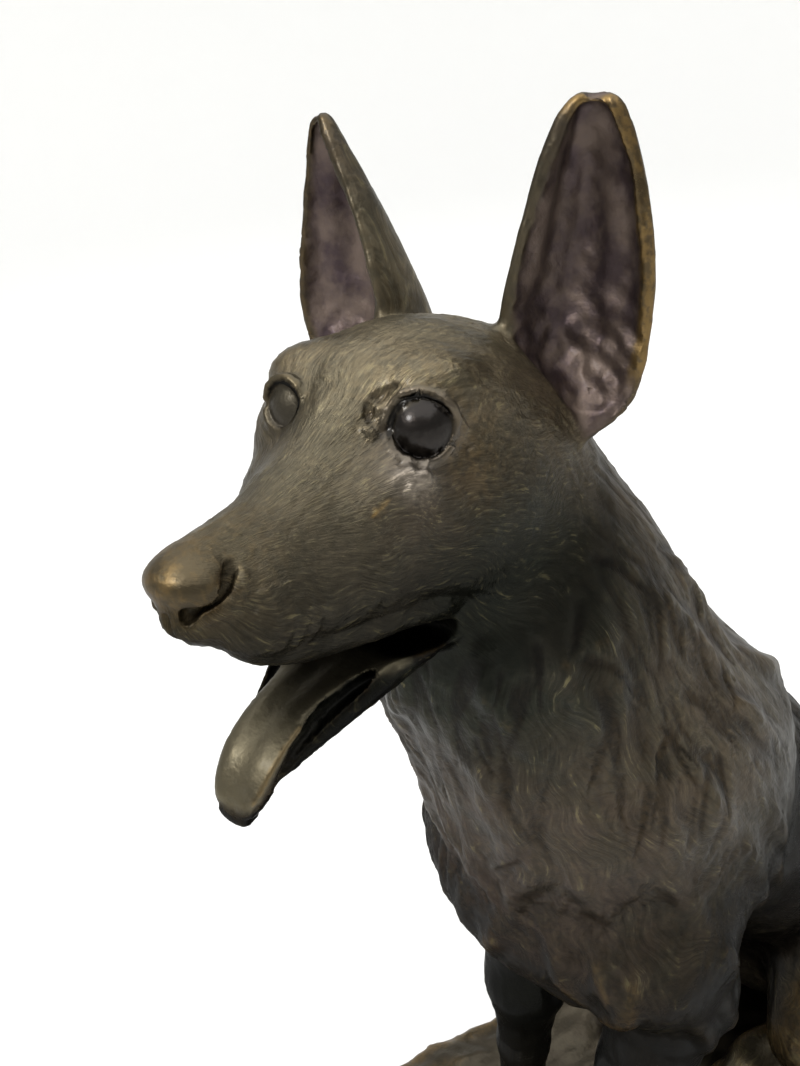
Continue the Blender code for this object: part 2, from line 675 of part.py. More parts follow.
def addLocks(clay):
    """Rows of locks down the neck and chest, each a wavy ridge that follows the form."""
    smooth = Clay()
    smooth.steps = list(clay.steps)
    for row in range(LOCK_ROWS):
        share = row / (LOCK_ROWS - 1)
        middle = np.array([-3.4 + 2.8 * share, -2.4 + 2.4 * share, 68 - 27 * share])
        count = LOCKS_IN_ROW + row % 2
        for i in range(count):
            shift = 0.25 + 0.5 * (row % 2) + 0.25 * math.sin(4.1 * row + 2.3 * i)
            angle = math.radians(-125 + 250 * (i + shift) / count)
            away = (math.sin(angle), -math.cos(angle), -0.15)
            point, normal = surfaceFrom(smooth, middle, away)
            sway = 0.45 * math.sin(2.1 * row + 1.7 * i)
            flow = np.array([0.0, 0.45 * (1 - math.cos(angle)), -1.0])
            length = LOCK_LENGTH + 1.5 * math.sin(1.3 * row + 2.9 * i)
            path = [point - normal * LOCK_DEPTHS[0]]
            for k, depth in enumerate(LOCK_DEPTHS[1:]):
                flow[0] = sway + 0.3 * math.sin(2.2 * k + 1.9 * i)
                down = unit(flow - (flow @ normal) * normal)
                point = smooth.settle((point + down * length / (len(LOCK_DEPTHS) - 1))[None], 3)[0]
                normal = unit(smooth.slope(point[None])[0])
                path.append(point - normal * depth)
            clay.add(joined(chain(path, LOCK_RADII)), 0.5)


def seatedDog():
    clay = Clay()
    head = headFrame()
    addTrunk(clay)
    for side in (1, -1):
        addForeleg(clay, side)
        addHindLeg(clay, side)
    addTail(clay)
    addLocks(clay)
    clay.add(ground(), 0.5)
    addSkull(clay, head)
    addMouth(clay, head)
    for side in (1, -1):
        clay.add(ear(side), 0.8, head)
        addEye(clay, head, side)
        addNostril(clay, head, side)
    return clay


def spacing(low, high, fineLow, fineHigh):
    """Grid lines that are close together over the head and wider elsewhere."""
    out = [low]
    while out[-1] < high:
        inHead = fineLow < out[-1] < fineHigh
        out.append(out[-1] + (HEAD_STEP if inHead else BODY_STEP))
    return np.array(out)


def bronze():
    material = bpy.data.materials.new("dark bronze")
    material.use_nodes = True
    shader = material.node_tree.nodes["Principled BSDF"]
    shader.inputs["Base Color"].default_value = (0.052, 0.041, 0.028, 1)
    shader.inputs["Metallic"].default_value = 1.0
    shader.inputs["Roughness"].default_value = 0.42
    return material


def makeDog():
    clay = seatedDog()
    base = GROUND_THICKNESS / UNIT
    axes = [spacing(*GRID_X), spacing(*GRID_Y), spacing(-base - 2, *GRID_TOP)]
    points, quads = largestPart(*surfaceNet(axes, untangle(clay.grid(axes))))
    points = clay.settle(points)
    points[points[:, 2] < 0.2 - base, 2] = -base
    points = points - (*GROUND_MIDDLE, -base)
    mesh = bpy.data.meshes.new("seated_dog")
    mesh.from_pydata((points * UNIT).tolist(), [], quads.tolist())
    mesh.update()
    dog = bpy.data.objects.new("seated_dog", mesh)
    bpy.context.scene.collection.objects.link(dog)
    mesh.materials.append(bronze())
    triangulate = dog.modifiers.new("triangles", "TRIANGULATE")
    triangulate.quad_method = "SHORTEST_DIAGONAL"
    thin = dog.modifiers.new("thin out", "DECIMATE")
    thin.decimate_type = "COLLAPSE"
    thin.ratio = TRIANGLES / (2 * len(quads))
    thin.use_collapse_triangulate = True
    return dog


for old in list(bpy.data.objects):
    bpy.data.objects.remove(old, do_unlink=True)
makeDog()
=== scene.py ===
import json
import math
import time
from itertools import product

import bpy
import numpy as np
from mathutils import Matrix, Vector
from mathutils.bvhtree import BVHTree
from mathutils.kdtree import KDTree

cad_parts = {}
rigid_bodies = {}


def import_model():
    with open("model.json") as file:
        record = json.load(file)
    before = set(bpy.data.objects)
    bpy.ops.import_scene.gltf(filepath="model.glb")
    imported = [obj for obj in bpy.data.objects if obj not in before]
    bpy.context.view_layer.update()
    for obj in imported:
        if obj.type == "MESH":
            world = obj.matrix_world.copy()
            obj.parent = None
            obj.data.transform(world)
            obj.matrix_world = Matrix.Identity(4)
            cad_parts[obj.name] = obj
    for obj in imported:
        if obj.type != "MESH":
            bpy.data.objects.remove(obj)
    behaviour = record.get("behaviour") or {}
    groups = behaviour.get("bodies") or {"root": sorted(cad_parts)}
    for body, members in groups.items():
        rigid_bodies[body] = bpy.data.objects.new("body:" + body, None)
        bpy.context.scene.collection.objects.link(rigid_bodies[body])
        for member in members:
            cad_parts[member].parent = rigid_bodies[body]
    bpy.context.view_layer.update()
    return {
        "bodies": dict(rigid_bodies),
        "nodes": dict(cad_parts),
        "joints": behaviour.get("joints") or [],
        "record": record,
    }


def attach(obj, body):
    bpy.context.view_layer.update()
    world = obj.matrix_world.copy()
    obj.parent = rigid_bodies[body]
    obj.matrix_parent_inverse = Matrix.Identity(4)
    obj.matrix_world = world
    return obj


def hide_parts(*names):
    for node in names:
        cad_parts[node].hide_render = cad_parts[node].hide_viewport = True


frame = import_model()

started = time.time()

# The dog is modelled in figure units: one is a centimetre of a living dog 88 cm tall
dog = {
    "height": 0.396,  # paw soles to ear tips, metres
    "groundThickness": 0.025,
    "groundEdgeRounding": 0.008,
    "earWall": 0.0023,
    "tongueThickness": 0.0054,
    "headGrid": 0.3,  # first clay grid, figure units
    "bodyGrid": 0.8,
    "triangles": 190000,  # what the decimation leaves
    "strokeDepth": 0.0009,  # metres at a stroke value of 1
    "pitDepth": 0.00016,
    "pitSize": 0.0016,
    "skySamples": 9000,  # places from which the open sky is measured, and rays from each
    "skyRays": 16,
    "seed": 7,
}
figureUnits = 88.0
unitSize = dog["height"] / figureUnits
farAway = 9.0  # the field where nothing is near

headPose = {"turn": 16.5, "lift": 14.4, "roll": 0.7, "middle": (-2.87, -10.56, 75.18)}  # angles in degrees

# The ears from lobe to tip, by side (1 is the dog's left): half-widths outwards and inwards, depths and scoop
earPlan = {
    "stations": (-2.4, -1.4, -0.2, 1.2, 2.8, 4.8, 6.8, 8.8, 10.4, 11.4, 11.9),
    "outer": {
        1: (1.7, 2.9, 3.75, 4.0, 4.0, 3.88, 3.45, 2.8, 2.1, 1.45, 0.95),
        -1: (1.4, 2.45, 3.25, 3.65, 4.1, 3.85, 3.05, 2.15, 1.35, 0.8, 0.3),
    },
    "inner": {
        1: (1.0, -0.2, -1.3, -1.95, -2.25, -2.1, -1.8, -1.5, -1.05, -0.45, 0.1),
        -1: (1.0, -0.3, -1.6, -2.4, -2.7, -2.5, -2.05, -1.45, -0.95, -0.6, -0.35),
    },
    "scoop": (0.3, 0.6, 1.1, 1.7, 2.0, 2.1, 2.0, 1.7, 1.2, 0.7, 0.2),
    "top": {1: 11.6, -1: 11.9},
    "depth": (2.0, 3.2, 4.2, 4.6, 4.3, 3.6, 2.8, 1.95, 1.2, 0.75, 0.5),
    "opening": math.radians(32),
}

groundPlan = {
    "outline": (
        (-2, -17.5), (-14, -15.5), (-21.2, -9), (-19.6, -1), (-16.6, 8), (-17.6, 20), (-17, 34),
        (-10, 45), (2, 49), (14, 47), (21, 38), (21.5, 24), (19.5, 8), (20.5, -5), (13, -15.5),
    ),
    "middle": (0.0, 15.0),
}


def say(*what):
    print(*what, round(time.time() - started), "s")


# The form, as signed distances

def unit(vector):
    vector = np.asarray(vector, float)
    return vector / np.maximum(np.linalg.norm(vector), 1e-12)


def lengths(vectors):
    return np.linalg.norm(vectors, axis=-1)


def step(low, high, value):  # smooth, from 0 at the low value to 1 at the high one
    share = np.clip((value - low) / (high - low), 0, 1)
    return share * share * (3 - 2 * share)


def softMin(a, b, blend):
    share = np.clip(0.5 + 0.5 * (b - a) / blend, 0, 1)
    return b + (a - b) * share - blend * share * (1 - share)


def softMax(a, b, blend):
    return -softMin(-a, -b, blend)


def spline(points, closed=False, steps=10):
    points = np.asarray(points, float)
    count = len(points)
    out = []
    for i in range(count if closed else count - 1):
        a, b, c, d = points.take(range(i - 1, i + 3), axis=0, mode="wrap" if closed else "clip")
        for u in np.linspace(0, 1, steps, endpoint=False):
            cubic = (3 * b - 3 * c + d - a) * u ** 3
            square = (2 * a - 5 * b + 4 * c - d) * u * u
            out.append(0.5 * (2 * b + (c - a) * u + square + cubic))
    if not closed:
        out.append(points[-1])
    return np.array(out)


def wave(p, size, seed, terms=7):  # smooth noise from about -1 to 1, made of ripples in random directions
    rng = np.random.default_rng(seed)
    out = np.zeros(len(p))
    for _ in range(terms):
        ripple = unit(rng.normal(size=3)) * 2 * math.pi / size * rng.uniform(0.7, 1.4)
        out += np.sin(p @ ripple + rng.uniform(0, 2 * math.pi))
    return out / math.sqrt(terms)


def frameAlong(direction, side=(1, 0, 0)):
    long = unit(direction)
    side = np.asarray(side, float)
    side = unit(side - (side @ long) * long)
    return np.stack([side, np.cross(long, side), long], 1)


def ellipsoid(middle, radii, turned=None):
    middle = np.asarray(middle, float)
    radii = np.asarray(radii, float)
    turned = np.eye(3) if turned is None else turned

    def distance(p):
        q = (p - middle) @ turned
        a = np.sqrt(((q / radii) ** 2).sum(-1))
        b = np.sqrt(((q / radii ** 2) ** 2).sum(-1))
        return a * (a - 1) / np.maximum(b, 1e-6)

    return distance, middle, float(radii.max())


def ball(middle, radius):
    middle = np.asarray(middle, float)
    return (lambda p: lengths(p - middle) - radius), middle, radius


def limb(start, end, startRadius, endRadius, flatten=None):  # round cone; flatten is (direction, share)
    start = np.asarray(start, float)
    end = np.asarray(end, float)
    along = end - start
    length2 = along @ along
    slope = startRadius - endRadius
    a2 = length2 - slope * slope
    inverse = 1 / length2

    def distance(p):
        scale = 1.0
        if flatten is not None:
            axis = unit(flatten[0])
            scale = flatten[1]
            offset = (p - start) @ axis
            p = p + (offset / scale - offset)[..., None] * axis
        q = p - start
        y = q @ along
        z = y - length2
        x = q * length2 - y[..., None] * along
        x2 = (x * x).sum(-1)
        y2 = y * y * length2
        z2 = z * z * length2
        k = np.sign(slope) * slope * slope * x2
        out = (np.sqrt(x2 * a2 * inverse) + y * slope) * inverse - startRadius
        atEnd = np.sign(z) * a2 * z2 > k
        atStart = ~atEnd & (np.sign(y) * a2 * y2 < k)
        out = np.where(atEnd, np.sqrt(x2 + z2) * inverse - endRadius, out)
        out = np.where(atStart, np.sqrt(x2 + y2) * inverse - startRadius, out)
        return out * min(scale, 1.0)

    reach = float(np.linalg.norm(along) / 2 + max(startRadius, endRadius))
    if flatten is not None:
        reach = reach * max(1.0, flatten[1])
    return distance, (start + end) / 2, reach


def strap(points, halfWidths, halfThickness, edge=0.25, power=2.6, samples=48):  # a flat tongue
    curve = spline(points, steps=max(2, samples // (len(points) - 1)))
    samples = len(curve)
    widths = np.interp(np.linspace(0, len(points) - 1, samples), range(len(points)), halfWidths)
    ahead = np.gradient(curve, axis=0)
    spacing = lengths(ahead)
    ahead = ahead / spacing[:, None]
    up = np.cross(ahead, (0, 1, 0))
    up = up / lengths(up)[:, None]
    across = np.cross(up, ahead)

    def distance(p):
        nearest = ((p[:, None, :] - curve[None]) ** 2).sum(-1).argmin(1)
        q = p - curve[nearest]
        run = (q * ahead[nearest]).sum(1)
        place = np.clip(nearest + run / spacing[nearest], 0, samples - 1)
        width = np.interp(place, range(samples), widths)
        x = (q * across[nearest]).sum(1)
        y = (q * up[nearest]).sum(1)
        past = ((nearest == 0) & (run < 0)) | ((nearest == samples - 1) & (run > 0))
        over = np.where(past, np.abs(run), 0)
        thick = halfThickness * (1 + edge * np.clip(np.abs(x) / width, 0, 1) ** 3)
        total = np.abs(x / width) ** power + np.abs(y / thick) ** power
        total = total + np.abs(over / thick) ** power
        return (total ** (1 / power) - 1) * np.minimum(width, thick)

    middle = curve.mean(0)
    reach = lengths(curve - middle).max() + max(halfWidths)
    return distance, middle, float(reach)


class Clay:  # shapes added and cut in order, each with the width over which it blends
    def __init__(self):
        self.steps = []

    def add(self, shape, blend=1.0, frame=None):
        self.steps.append((False, shape, blend, frame))

    def cut(self, shape, blend=0.3, frame=None):
        self.steps.append((True, shape, blend, frame))

    def rope(self, path, radii, blend, frame, side=1, cuts=False):  # limbs along a path, mirrored on side -1
        for piece in chain(np.array(path) * (1, side, 1), radii):
            self.steps.append((cuts, piece, blend, frame))

    def reach(self, which):
        shape, blend, frame = which[1:]
        middle = shape[1] if frame is None else frame[1] + frame[0] @ shape[1]
        pad = shape[2] + blend + 0.8
        return middle - pad, middle + pad

    def apply(self, which, p, field):
        cuts, shape, blend, frame = which
        if frame is not None:
            p = (p - frame[1]) @ frame[0]
        value = shape[0](p)
        if cuts:
            return softMax(field, -value, blend)
        return softMin(field, value, blend)

    def at(self, p, block=5.0):
        reaches = [self.reach(which) for which in self.steps]
        lows = np.array([r[0] for r in reaches])
        highs = np.array([r[1] for r in reaches])
        field = np.full(len(p), farAway)
        cells = np.floor(p / block).astype(int)
        cells = cells - cells.min(0)
        key = (cells[:, 0] * 1000 + cells[:, 1]) * 1000 + cells[:, 2]
        order = np.argsort(key, kind="stable")
        ends = np.nonzero(np.diff(key[order]))[0] + 1
        for part in np.split(order, ends):
            q = p[part]
            value = field[part]
            low, high = q.min(0), q.max(0)
            for i in np.nonzero(((lows < high) & (highs > low)).all(1))[0]:
                within = ((q > lows[i]) & (q < highs[i])).all(1)
                if within.all():
                    value = self.apply(self.steps[i], q, value)
                elif within.any():
                    value[within] = self.apply(self.steps[i], q[within], value[within])
            field[part] = value
        return field

    def grid(self, axes):
        field = np.full([len(a) for a in axes], farAway, np.float32)
        for which in self.steps:
            low, high = self.reach(which)
            span = [slice(*np.searchsorted(a, (l, h))) for a, l, h in zip(axes, low, high)]
            part = field[tuple(span)]
            if part.size == 0:
                continue
            mesh = np.meshgrid(*[a[s] for a, s in zip(axes, span)], indexing="ij")
            p = np.stack([m.ravel() for m in mesh], 1)
            field[tuple(span)] = self.apply(which, p, part.ravel()).reshape(part.shape)
        return field

    def slope(self, p, reach=0.03):
        corners = np.array([(1, -1, -1), (-1, -1, 1), (-1, 1, -1), (1, 1, 1)], float)
        values = [self.at(p + corner * reach) for corner in corners]
        out = sum(v[:, None] * corner for v, corner in zip(values, corners))
        return out / (4 * reach), sum(values) / 4

    def settle(self, p, rounds=1, most=0.15):
        for _ in range(rounds):
            slope, value = self.slope(p)
            size2 = np.maximum((slope * slope).sum(1), 0.05)
            move = -(value / size2)[:, None] * slope
            length = lengths(move)
            p = p + move * np.minimum(1, most / np.maximum(length, 1e-9))[:, None]
        return p


def cornerBlocks(grid):  # for each corner of the cells, the grid's values there
    x, y, z = np.array(grid.shape) - 1
    return {(i, j, k): grid[i:x + i, j:y + j, k:z + k] for i, j, k in product((0, 1), repeat=3)}


def untangle(field):  # fills corners where two sheets of the surface would meet in one cell
    def fill(at):
        field[tuple(at.T)] = -0.01
        return len(at)

    for _ in range(30):
        inside = field < 0
        changed = 0
        for axis in range(3):
            u, v = (axis + 1) % 3, (axis + 2) % 3
            place = []
            for du, dv in ((0, 0), (1, 0), (0, 1), (1, 1)):
                part = [slice(None)] * 3
                part[u] = slice(du, field.shape[u] - 1 + du)
                part[v] = slice(dv, field.shape[v] - 1 + dv)
                place.append(inside[tuple(part)])
            a, b, c, d = place
            pairs = ((a & d & ~b & ~c, (1, 0), (0, 1)), (b & c & ~a & ~d, (0, 0), (1, 1)))
            for bad, first, second in pairs:
                at = np.argwhere(bad)
                if len(at) == 0:
                    continue
                one, two = at.copy(), at.copy()
                one[:, u] += first[0]
                one[:, v] += first[1]
                two[:, u] += second[0]
                two[:, v] += second[1]
                nearer = field[tuple(one.T)] < field[tuple(two.T)]
                changed += fill(np.where(nearer[:, None], one, two))
        corner = cornerBlocks(field < 0)
        total = sum(c.astype(np.int8) for c in corner.values())
        for i, j, k in ((0, 0, 0), (1, 0, 0), (0, 1, 0), (0, 0, 1)):
            first, second = corner[i, j, k], corner[1 - i, 1 - j, 1 - k]
            changed += fill(np.argwhere((total == 6) & ~first & ~second) + (i, j, k))
            changed += fill(np.argwhere((total == 2) & first & second) + (1 - i, j, k))
        if changed == 0:
            break
    return field


def surfaceNet(axes, field):  # a point in each crossed cell, a quad round each crossed edge
    inside = field < 0
    total = sum(block.astype(np.int8) for block in cornerBlocks(inside).values())
    cells = np.argwhere((total > 0) & (total < 8))
    index = np.full(total.shape, -1, np.int32)
    index[tuple(cells.T)] = np.arange(len(cells))
    points = np.zeros((len(cells), 3))
    weight = np.zeros(len(cells))
    for a in map(np.array, product((0, 1), repeat=3)):
        for axis in range(3):
            if a[axis]:
                continue
            b = a.copy()
            b[axis] = 1
            va = field[tuple((cells + a).T)].astype(float)
            vb = field[tuple((cells + b).T)].astype(float)
            crossed = (va < 0) != (vb < 0)
            share = np.where(crossed, va / np.where(crossed, va - vb, 1), 0)
            for i in range(3):
                first = axes[i][cells[:, i] + a[i]]
                second = axes[i][cells[:, i] + b[i]]
                points[:, i] += np.where(crossed, first + share * (second - first), 0)
            weight += crossed
    points = points / weight[:, None]
    quads = []
    for axis in range(3):
        u, v = (axis + 1) % 3, (axis + 2) % 3
        low = [slice(1, -1)] * 3
        low[axis] = slice(0, -1)
        high = list(low)
        high[axis] = slice(1, None)
        first, second = inside[tuple(low)], inside[tuple(high)]
        at = np.argwhere(first != second)
        at[:, u] += 1
        at[:, v] += 1
        outward = inside[tuple(at.T)]
        ring = []
        for du, dv in ((-1, -1), (0, -1), (0, 0), (-1, 0)):
            cell = at.copy()
            cell[:, u] += du
            cell[:, v] += dv
            ring.append(index[tuple(cell.T)])
        quad = np.stack(ring, 1)
        quad[~outward] = quad[~outward][:, ::-1]
        quads.append(quad)
    return points, np.concatenate(quads)


def headFrame():
    turn, lift, roll = (math.radians(headPose[name]) for name in ("turn", "lift", "roll"))
    ahead = np.array([math.sin(turn) * math.cos(lift), -math.cos(turn) * math.cos(lift), math.sin(lift)])
    left = np.cross((0, 0, 1), ahead)
    left = unit(left) * math.cos(roll) + np.cross(ahead, unit(left)) * math.sin(roll)
    return np.stack([ahead, left, np.cross(ahead, left)], 1), np.array(headPose["middle"])


def addTrunk(clay):
    add = clay.add
    add(ellipsoid((0, 5.2, 46), (8.6, 10.2, 15), frameAlong((0, 0.62, -0.78))), 1)
    add(limb((0, 13, 39.5), (0, 26, 23), 9.0, 9.4), 4)
    add(ellipsoid((0, 31, 12.2), (10.2, 10.5, 11.7)), 4)
    add(ellipsoid((-0.6, -1.3, 43), (7.2, 6.9, 8.6)), 3)
    add(ellipsoid((-0.4, 1.0, 37.8), (6.6, 5.6, 6.6)), 2.5)
    add(limb((0, 0.6, 53), (-2.2, -2.7, 62), 9.4, 7.8), 3)
    add(limb((-2.2, -2.7, 62), (-4.2, -4.0, 69.5), 7.8, 6.4), 2)
    add(ellipsoid((-1.9, -3.4, 53.5), (6.2, 4.6, 8.5), frameAlong((0.1, -0.15, 1))), 3)


def addForeleg(clay, side):
    add = clay.add
    add(ellipsoid((side * 6.2, 3.0, 46.5), (3.2, 5.4, 10.5), frameAlong((side * 0.1, -0.6, -0.78))), 3)
    add(limb((side * 5.7, -2.2, 42.5), (side * 6.1, 2.2, 34.6), 4.2, 3.5), 2.5)
    add(ellipsoid((side * 6.4, 4.8, 33.4), (1.5, 1.7, 2.2)), 1.5)
    add(limb((side * 5.7, 0.8, 33), (side * 5.2, -0.2, 25), 3.8, 3.1, ((1, 0, 0), 0.92)), 2)
    add(limb((side * 5.2, -0.2, 25), (side * 5.3, -1.0, 17), 3.1, 2.0, ((1, 0, 0), 0.92)), 1.5)
    add(limb((side * 5.3, -1.0, 17), (side * 5.3, -1.5, 11), 2.0, 1.75), 1)
    add(ellipsoid((side * 5.3, -1.6, 10.3), (1.95, 2.3, 2.6)), 1)
    add(limb((side * 5.3, -1.6, 10.3), (side * 5.4, -3.2, 4.0), 1.95, 2.1), 1)
    addPaw(clay, side * 5.5, -5.2, 1.0)


def addPaw(clay, x, y, size):
    clay.add(ellipsoid((x, y, 1.9 * size), (3.1 * size, 4.3 * size, 2.4 * size)), 1)
    for place in (-1.5, -0.5, 0.5, 1.5):
        forward = 3.9 - 0.45 * abs(place)
        toe = (x + place * 1.62 * size, y - forward * size, 1.6 * size)
        clay.add(ellipsoid(toe, (1.0 * size, 2.0 * size, 1.55 * size)), 0.35)
        nail = (toe[0], toe[1] - 1.75 * size, 1.0 * size)
        clay.add(ellipsoid(nail, (0.32 * size, 0.75 * size, 0.4 * size)), 0.15)


def addHindLeg(clay, side):
    add = clay.add
    add(ellipsoid((side * 9.0, 27, 15), (4.8, 10.8, 10.3), frameAlong((0, 0.25, 1))), 2.5)
    add(limb((side * 9.0, 27, 16.5), (side * 9.2, 18, 12.6), 7.3, 3.6, ((1, 0, 0), 0.75)), 2)
    add(limb((side * 9.8, 32, 4.3), (side * 6.9, 21, 3.0), 2.8, 2.4), 1.2)
    addPaw(clay, side * 6.2, 18.5, 1.0)


tailPath = ((0, 39, 7), (5, 44.5, 3.2), (12, 44, 2.0), (16.6, 37.5, 1.8), (17.6, 30, 1.7), (17.2, 24, 1.4))


def addTail(clay):
    path = spline(tailPath, steps=4)
    radii = np.interp(np.linspace(0, 5, len(path)), range(6), (3.4, 3.3, 3.0, 2.6, 1.9, 0.9))
    for i in range(len(path) - 1):
        clay.add(limb(path[i], path[i + 1], radii[i], radii[i + 1]), 1.2)


def ground():
    thickness = dog["groundThickness"] / unitSize
    rounding = dog["groundEdgeRounding"] / unitSize
    middle = groundPlan["middle"]
    rim = spline(groundPlan["outline"], closed=True) - middle
    angles = np.arctan2(rim[:, 1], rim[:, 0])
    order = np.argsort(angles)
    angles = angles[order]
    radii = np.hypot(rim[:, 0], rim[:, 1])[order]

    def distance(p):
        q = p[:, :2] - middle
        edge = np.interp(np.arctan2(q[:, 1], q[:, 0]), angles, radii, period=2 * math.pi)
        out = np.hypot(q[:, 0], q[:, 1]) - edge
        x, y = p[:, 0], p[:, 1]
        swell = 0.35 * np.sin(x * 0.31 + 0.4) * np.cos(y * 0.27) + 0.25 * np.sin(x * 0.53 - y * 0.41 + 1)
        top = p[:, 2] - (swell - 0.4 - 1.5 * step(-9, 0, out))
        body = softMax(out * 0.93, top, rounding)
        return softMax(body, -(p[:, 2] + thickness), 0.25)

    return distance, np.array([*middle, -thickness / 2]), 42.0


def addSkull(clay, head):
    def put(shape, blend=1.0):  # in the head's frame
        clay.add(shape, blend, head)

    put(ellipsoid((-5.2, 0, -0.9), (6.9, 5.6, 4.9)), 2.0)
    put(ellipsoid((-2.5, 0, 0.5), (4.2, 4.3, 2.8)), 1.5)
    put(limb((-0.5, 0, -0.4), (4.2, 0, -2.6), 2.3, 1.6), 2.0)
    put(ellipsoid((-0.2, -3.0, -0.4), (1.8, 1.8, 1.6)))
    put(ellipsoid((0.4, -3.05, -1.1), (1.5, 1.5, 1.4)))
    put(ellipsoid((0.3, 3.0, -2.0), (2.1, 1.6, 1.6)), 1.5)
    put(ball((1.88, 3.7, -1.6), 0.6), 0.5)
    for side in (1, -1):
        put(ellipsoid((-0.5, side * 2.9, 1.6), (1.7, 1.6, 1.2)))
        put(ellipsoid((-2.8, side * 3.6, 0.7), (2.6, 1.4, 1.5)), 1.5)
        put(ellipsoid((-3.6, side * 4.0, -4.0), (4.4, 2.3, 3.6)), 2.0)
        put(ellipsoid((0.8, side * 2.5, -3.4), (3.4, 1.7, 2.4)), 1.5)
        put(limb((-0.5, side * 2.35, -5.4), (7.8, side * 1.15, -5.5), 2.2, 1.65))
    put(limb((-0.5, 0, -3.4), (9.0, 0, -4.2), 3.0, 1.57), 1.2)
    put(ellipsoid((9.95, 0, -3.95), (1.05, 1.38, 0.72)), 0.8)
    put(ellipsoid((9.25, 0, -5.25), (1.35, 1.15, 0.92)), 0.6)
    put(limb((10.2, 0, -4.2), (10.0, 0, -5.2), 0.5, 0.55), 0.4)


def addMouth(clay, head):
    for side in (1, -1):
        clay.add(limb((-2.5, side * 2.9, -8.0), (6.6, side * 0.7, -12.25), 1.5, 0.55), 1.0, head)
    clay.add(limb((-3, 0, -8.5), (6.0, 0, -12.15), 1.5, 0.55), 1.0, head)
    clay.cut(limb((-1.3, 0, -8.0), (8.5, 0, -9.8), 0.3, 1.9, ((0, 1, 0), 3.2)), 0.4, head)
    lip = ((-1.0, 3.7, -7.25), (0.3, 3.45, -7.2), (2.0, 2.95, -7.1), (3.5, 2.5, -7.12),
           (5.5, 1.95, -6.98), (7.0, 1.7, -6.75), (8.2, 1.3, -6.4))
    for side in (1, -1):
        clay.rope(lip, (0.45, 0.5, 0.55, 0.6, 0.65, 0.6, 0.5), 0.5, head, side)
    path = (
        (-1, 0, -9.3), (2.5, 0, -10.2), (5.0, 0.05, -10.7), (6.8, 0.05, -11.7),
        (7.55, -0.05, -12.9), (7.6, -0.2, -13.75),
    )
    for side in (1, -1):
        corner = limb((-1.0, side * 3.2, -8.65), (3.5, side * 1.7, -9.0), 0.6, 0.85, ((0, 1, 0), 2.2))
        clay.cut(corner, 0.25, head)
    thick = dog["tongueThickness"] / unitSize / 2
    clay.add(strap(path, (1.9, 1.65, 1.45, 1.38, 1.2, 0.75), thick), 0.25, head)
    slit = (
        (2.2, 2.3, -9.8), (3.2, 1.98, -10.0), (4.65, 1.6, -10.6), (6.1, 1.42, -11.4), (7.0, 1.3, -12.3),
    )
    for side in (1, -1):
        clay.rope(slit, (0.2, 0.3, 0.34, 0.3, 0.16), 0.12, head, side, cuts=True)


# The two eyes differ a little, as modelled by hand; "opening" is the radius that the lids leave free
eyes = {
    1: {"middle": (0.5, 3.16, 0.06), "radius": 1.38, "opening": 1.08, "look": (0.82, 0.56, 0.1)},
    -1: {"middle": (0.75, -2.15, 0.4), "radius": 1.52, "opening": 0.82, "look": (0.98, -0.1, 0.1)},
}
lidWall = 0.17

# Grooves at the near eye's inner corner: path and radii
eyeGrooves = (
    (
        (
            (1.0, 3.5, 1.4), (1.56, 3.1, 1.33), (1.81, 2.75, 1.07),
            (1.99, 2.65, 0.71), (2.12, 2.53, 0.2), (2.25, 2.27, -0.14),
        ),
        (0.08, 0.13, 0.22, 0.28, 0.26, 0.12),
    ),
    (((1.4, 2.57, 1.7), (1.63, 2.01, 1.35), (1.95, 1.79, 0.85), (2.14, 1.83, 0.43)), (0.08, 0.2, 0.22, 0.13)),
)


def eyeMiddle(side):
    return np.array(eyes[side]["middle"])


def joined(shapes):  # one shape out of several, with no blend between them
    middles = np.array([s[1] for s in shapes])
    middle = middles.mean(0)
    reach = max(np.linalg.norm(s[1] - middle) + s[2] for s in shapes)

    def distance(p):
        return np.min([s[0](p) for s in shapes], axis=0)

    return distance, middle, float(reach)


def chain(path, radii):
    path = spline(path, steps=3)
    radii = np.interp(np.linspace(0, 1, len(path)), np.linspace(0, 1, len(radii)), radii)
    return [limb(a, b, r, s) for a, b, r, s in zip(path, path[1:], radii, radii[1:])]


def eyeAxes(side):  # where the eye looks, its top and its outer corner
    look = unit(eyes[side]["look"])
    up = unit(np.array((0, 0, 1)) - look[2] * look)
    return look, up, np.cross(up, look) * side


def addEye(clay, head, side):  # a ball wrapped by its lids, which leave a round opening
    middle = eyeMiddle(side)
    radius, opening = eyes[side]["radius"], eyes[side]["opening"]
    look, up, out = eyeAxes(side)
    outer = radius + lidWall
    clay.add(ball(middle - look * 0.12, outer), 0.5, head)
    depth = math.sqrt(radius * radius - opening * opening)
    lifted = middle + 0.06 * up
    clay.cut(limb(lifted + look * depth, lifted + look * 3.0, opening, opening * 1.4), 0.12, head)
    for size, thick, start, end in ((opening + 0.27, 0.2, -80, 80), (opening + 0.2, 0.11, 100, 250)):
        angles = np.radians(np.linspace(start, end, 7))[:, None]
        ring = middle + look * math.sqrt(outer ** 2 - size ** 2)
        ring = ring + size * (np.cos(angles) * up + np.sin(angles) * out)
        clay.rope(ring, (0.3 * thick, thick, thick, thick, 0.3 * thick), 0.15, head)
    if side > 0:
        for path, radii in eyeGrooves:
            clay.rope(path, radii, 0.1, head, cuts=True)
    clay.add(ball(middle, radius), 0.03, head)


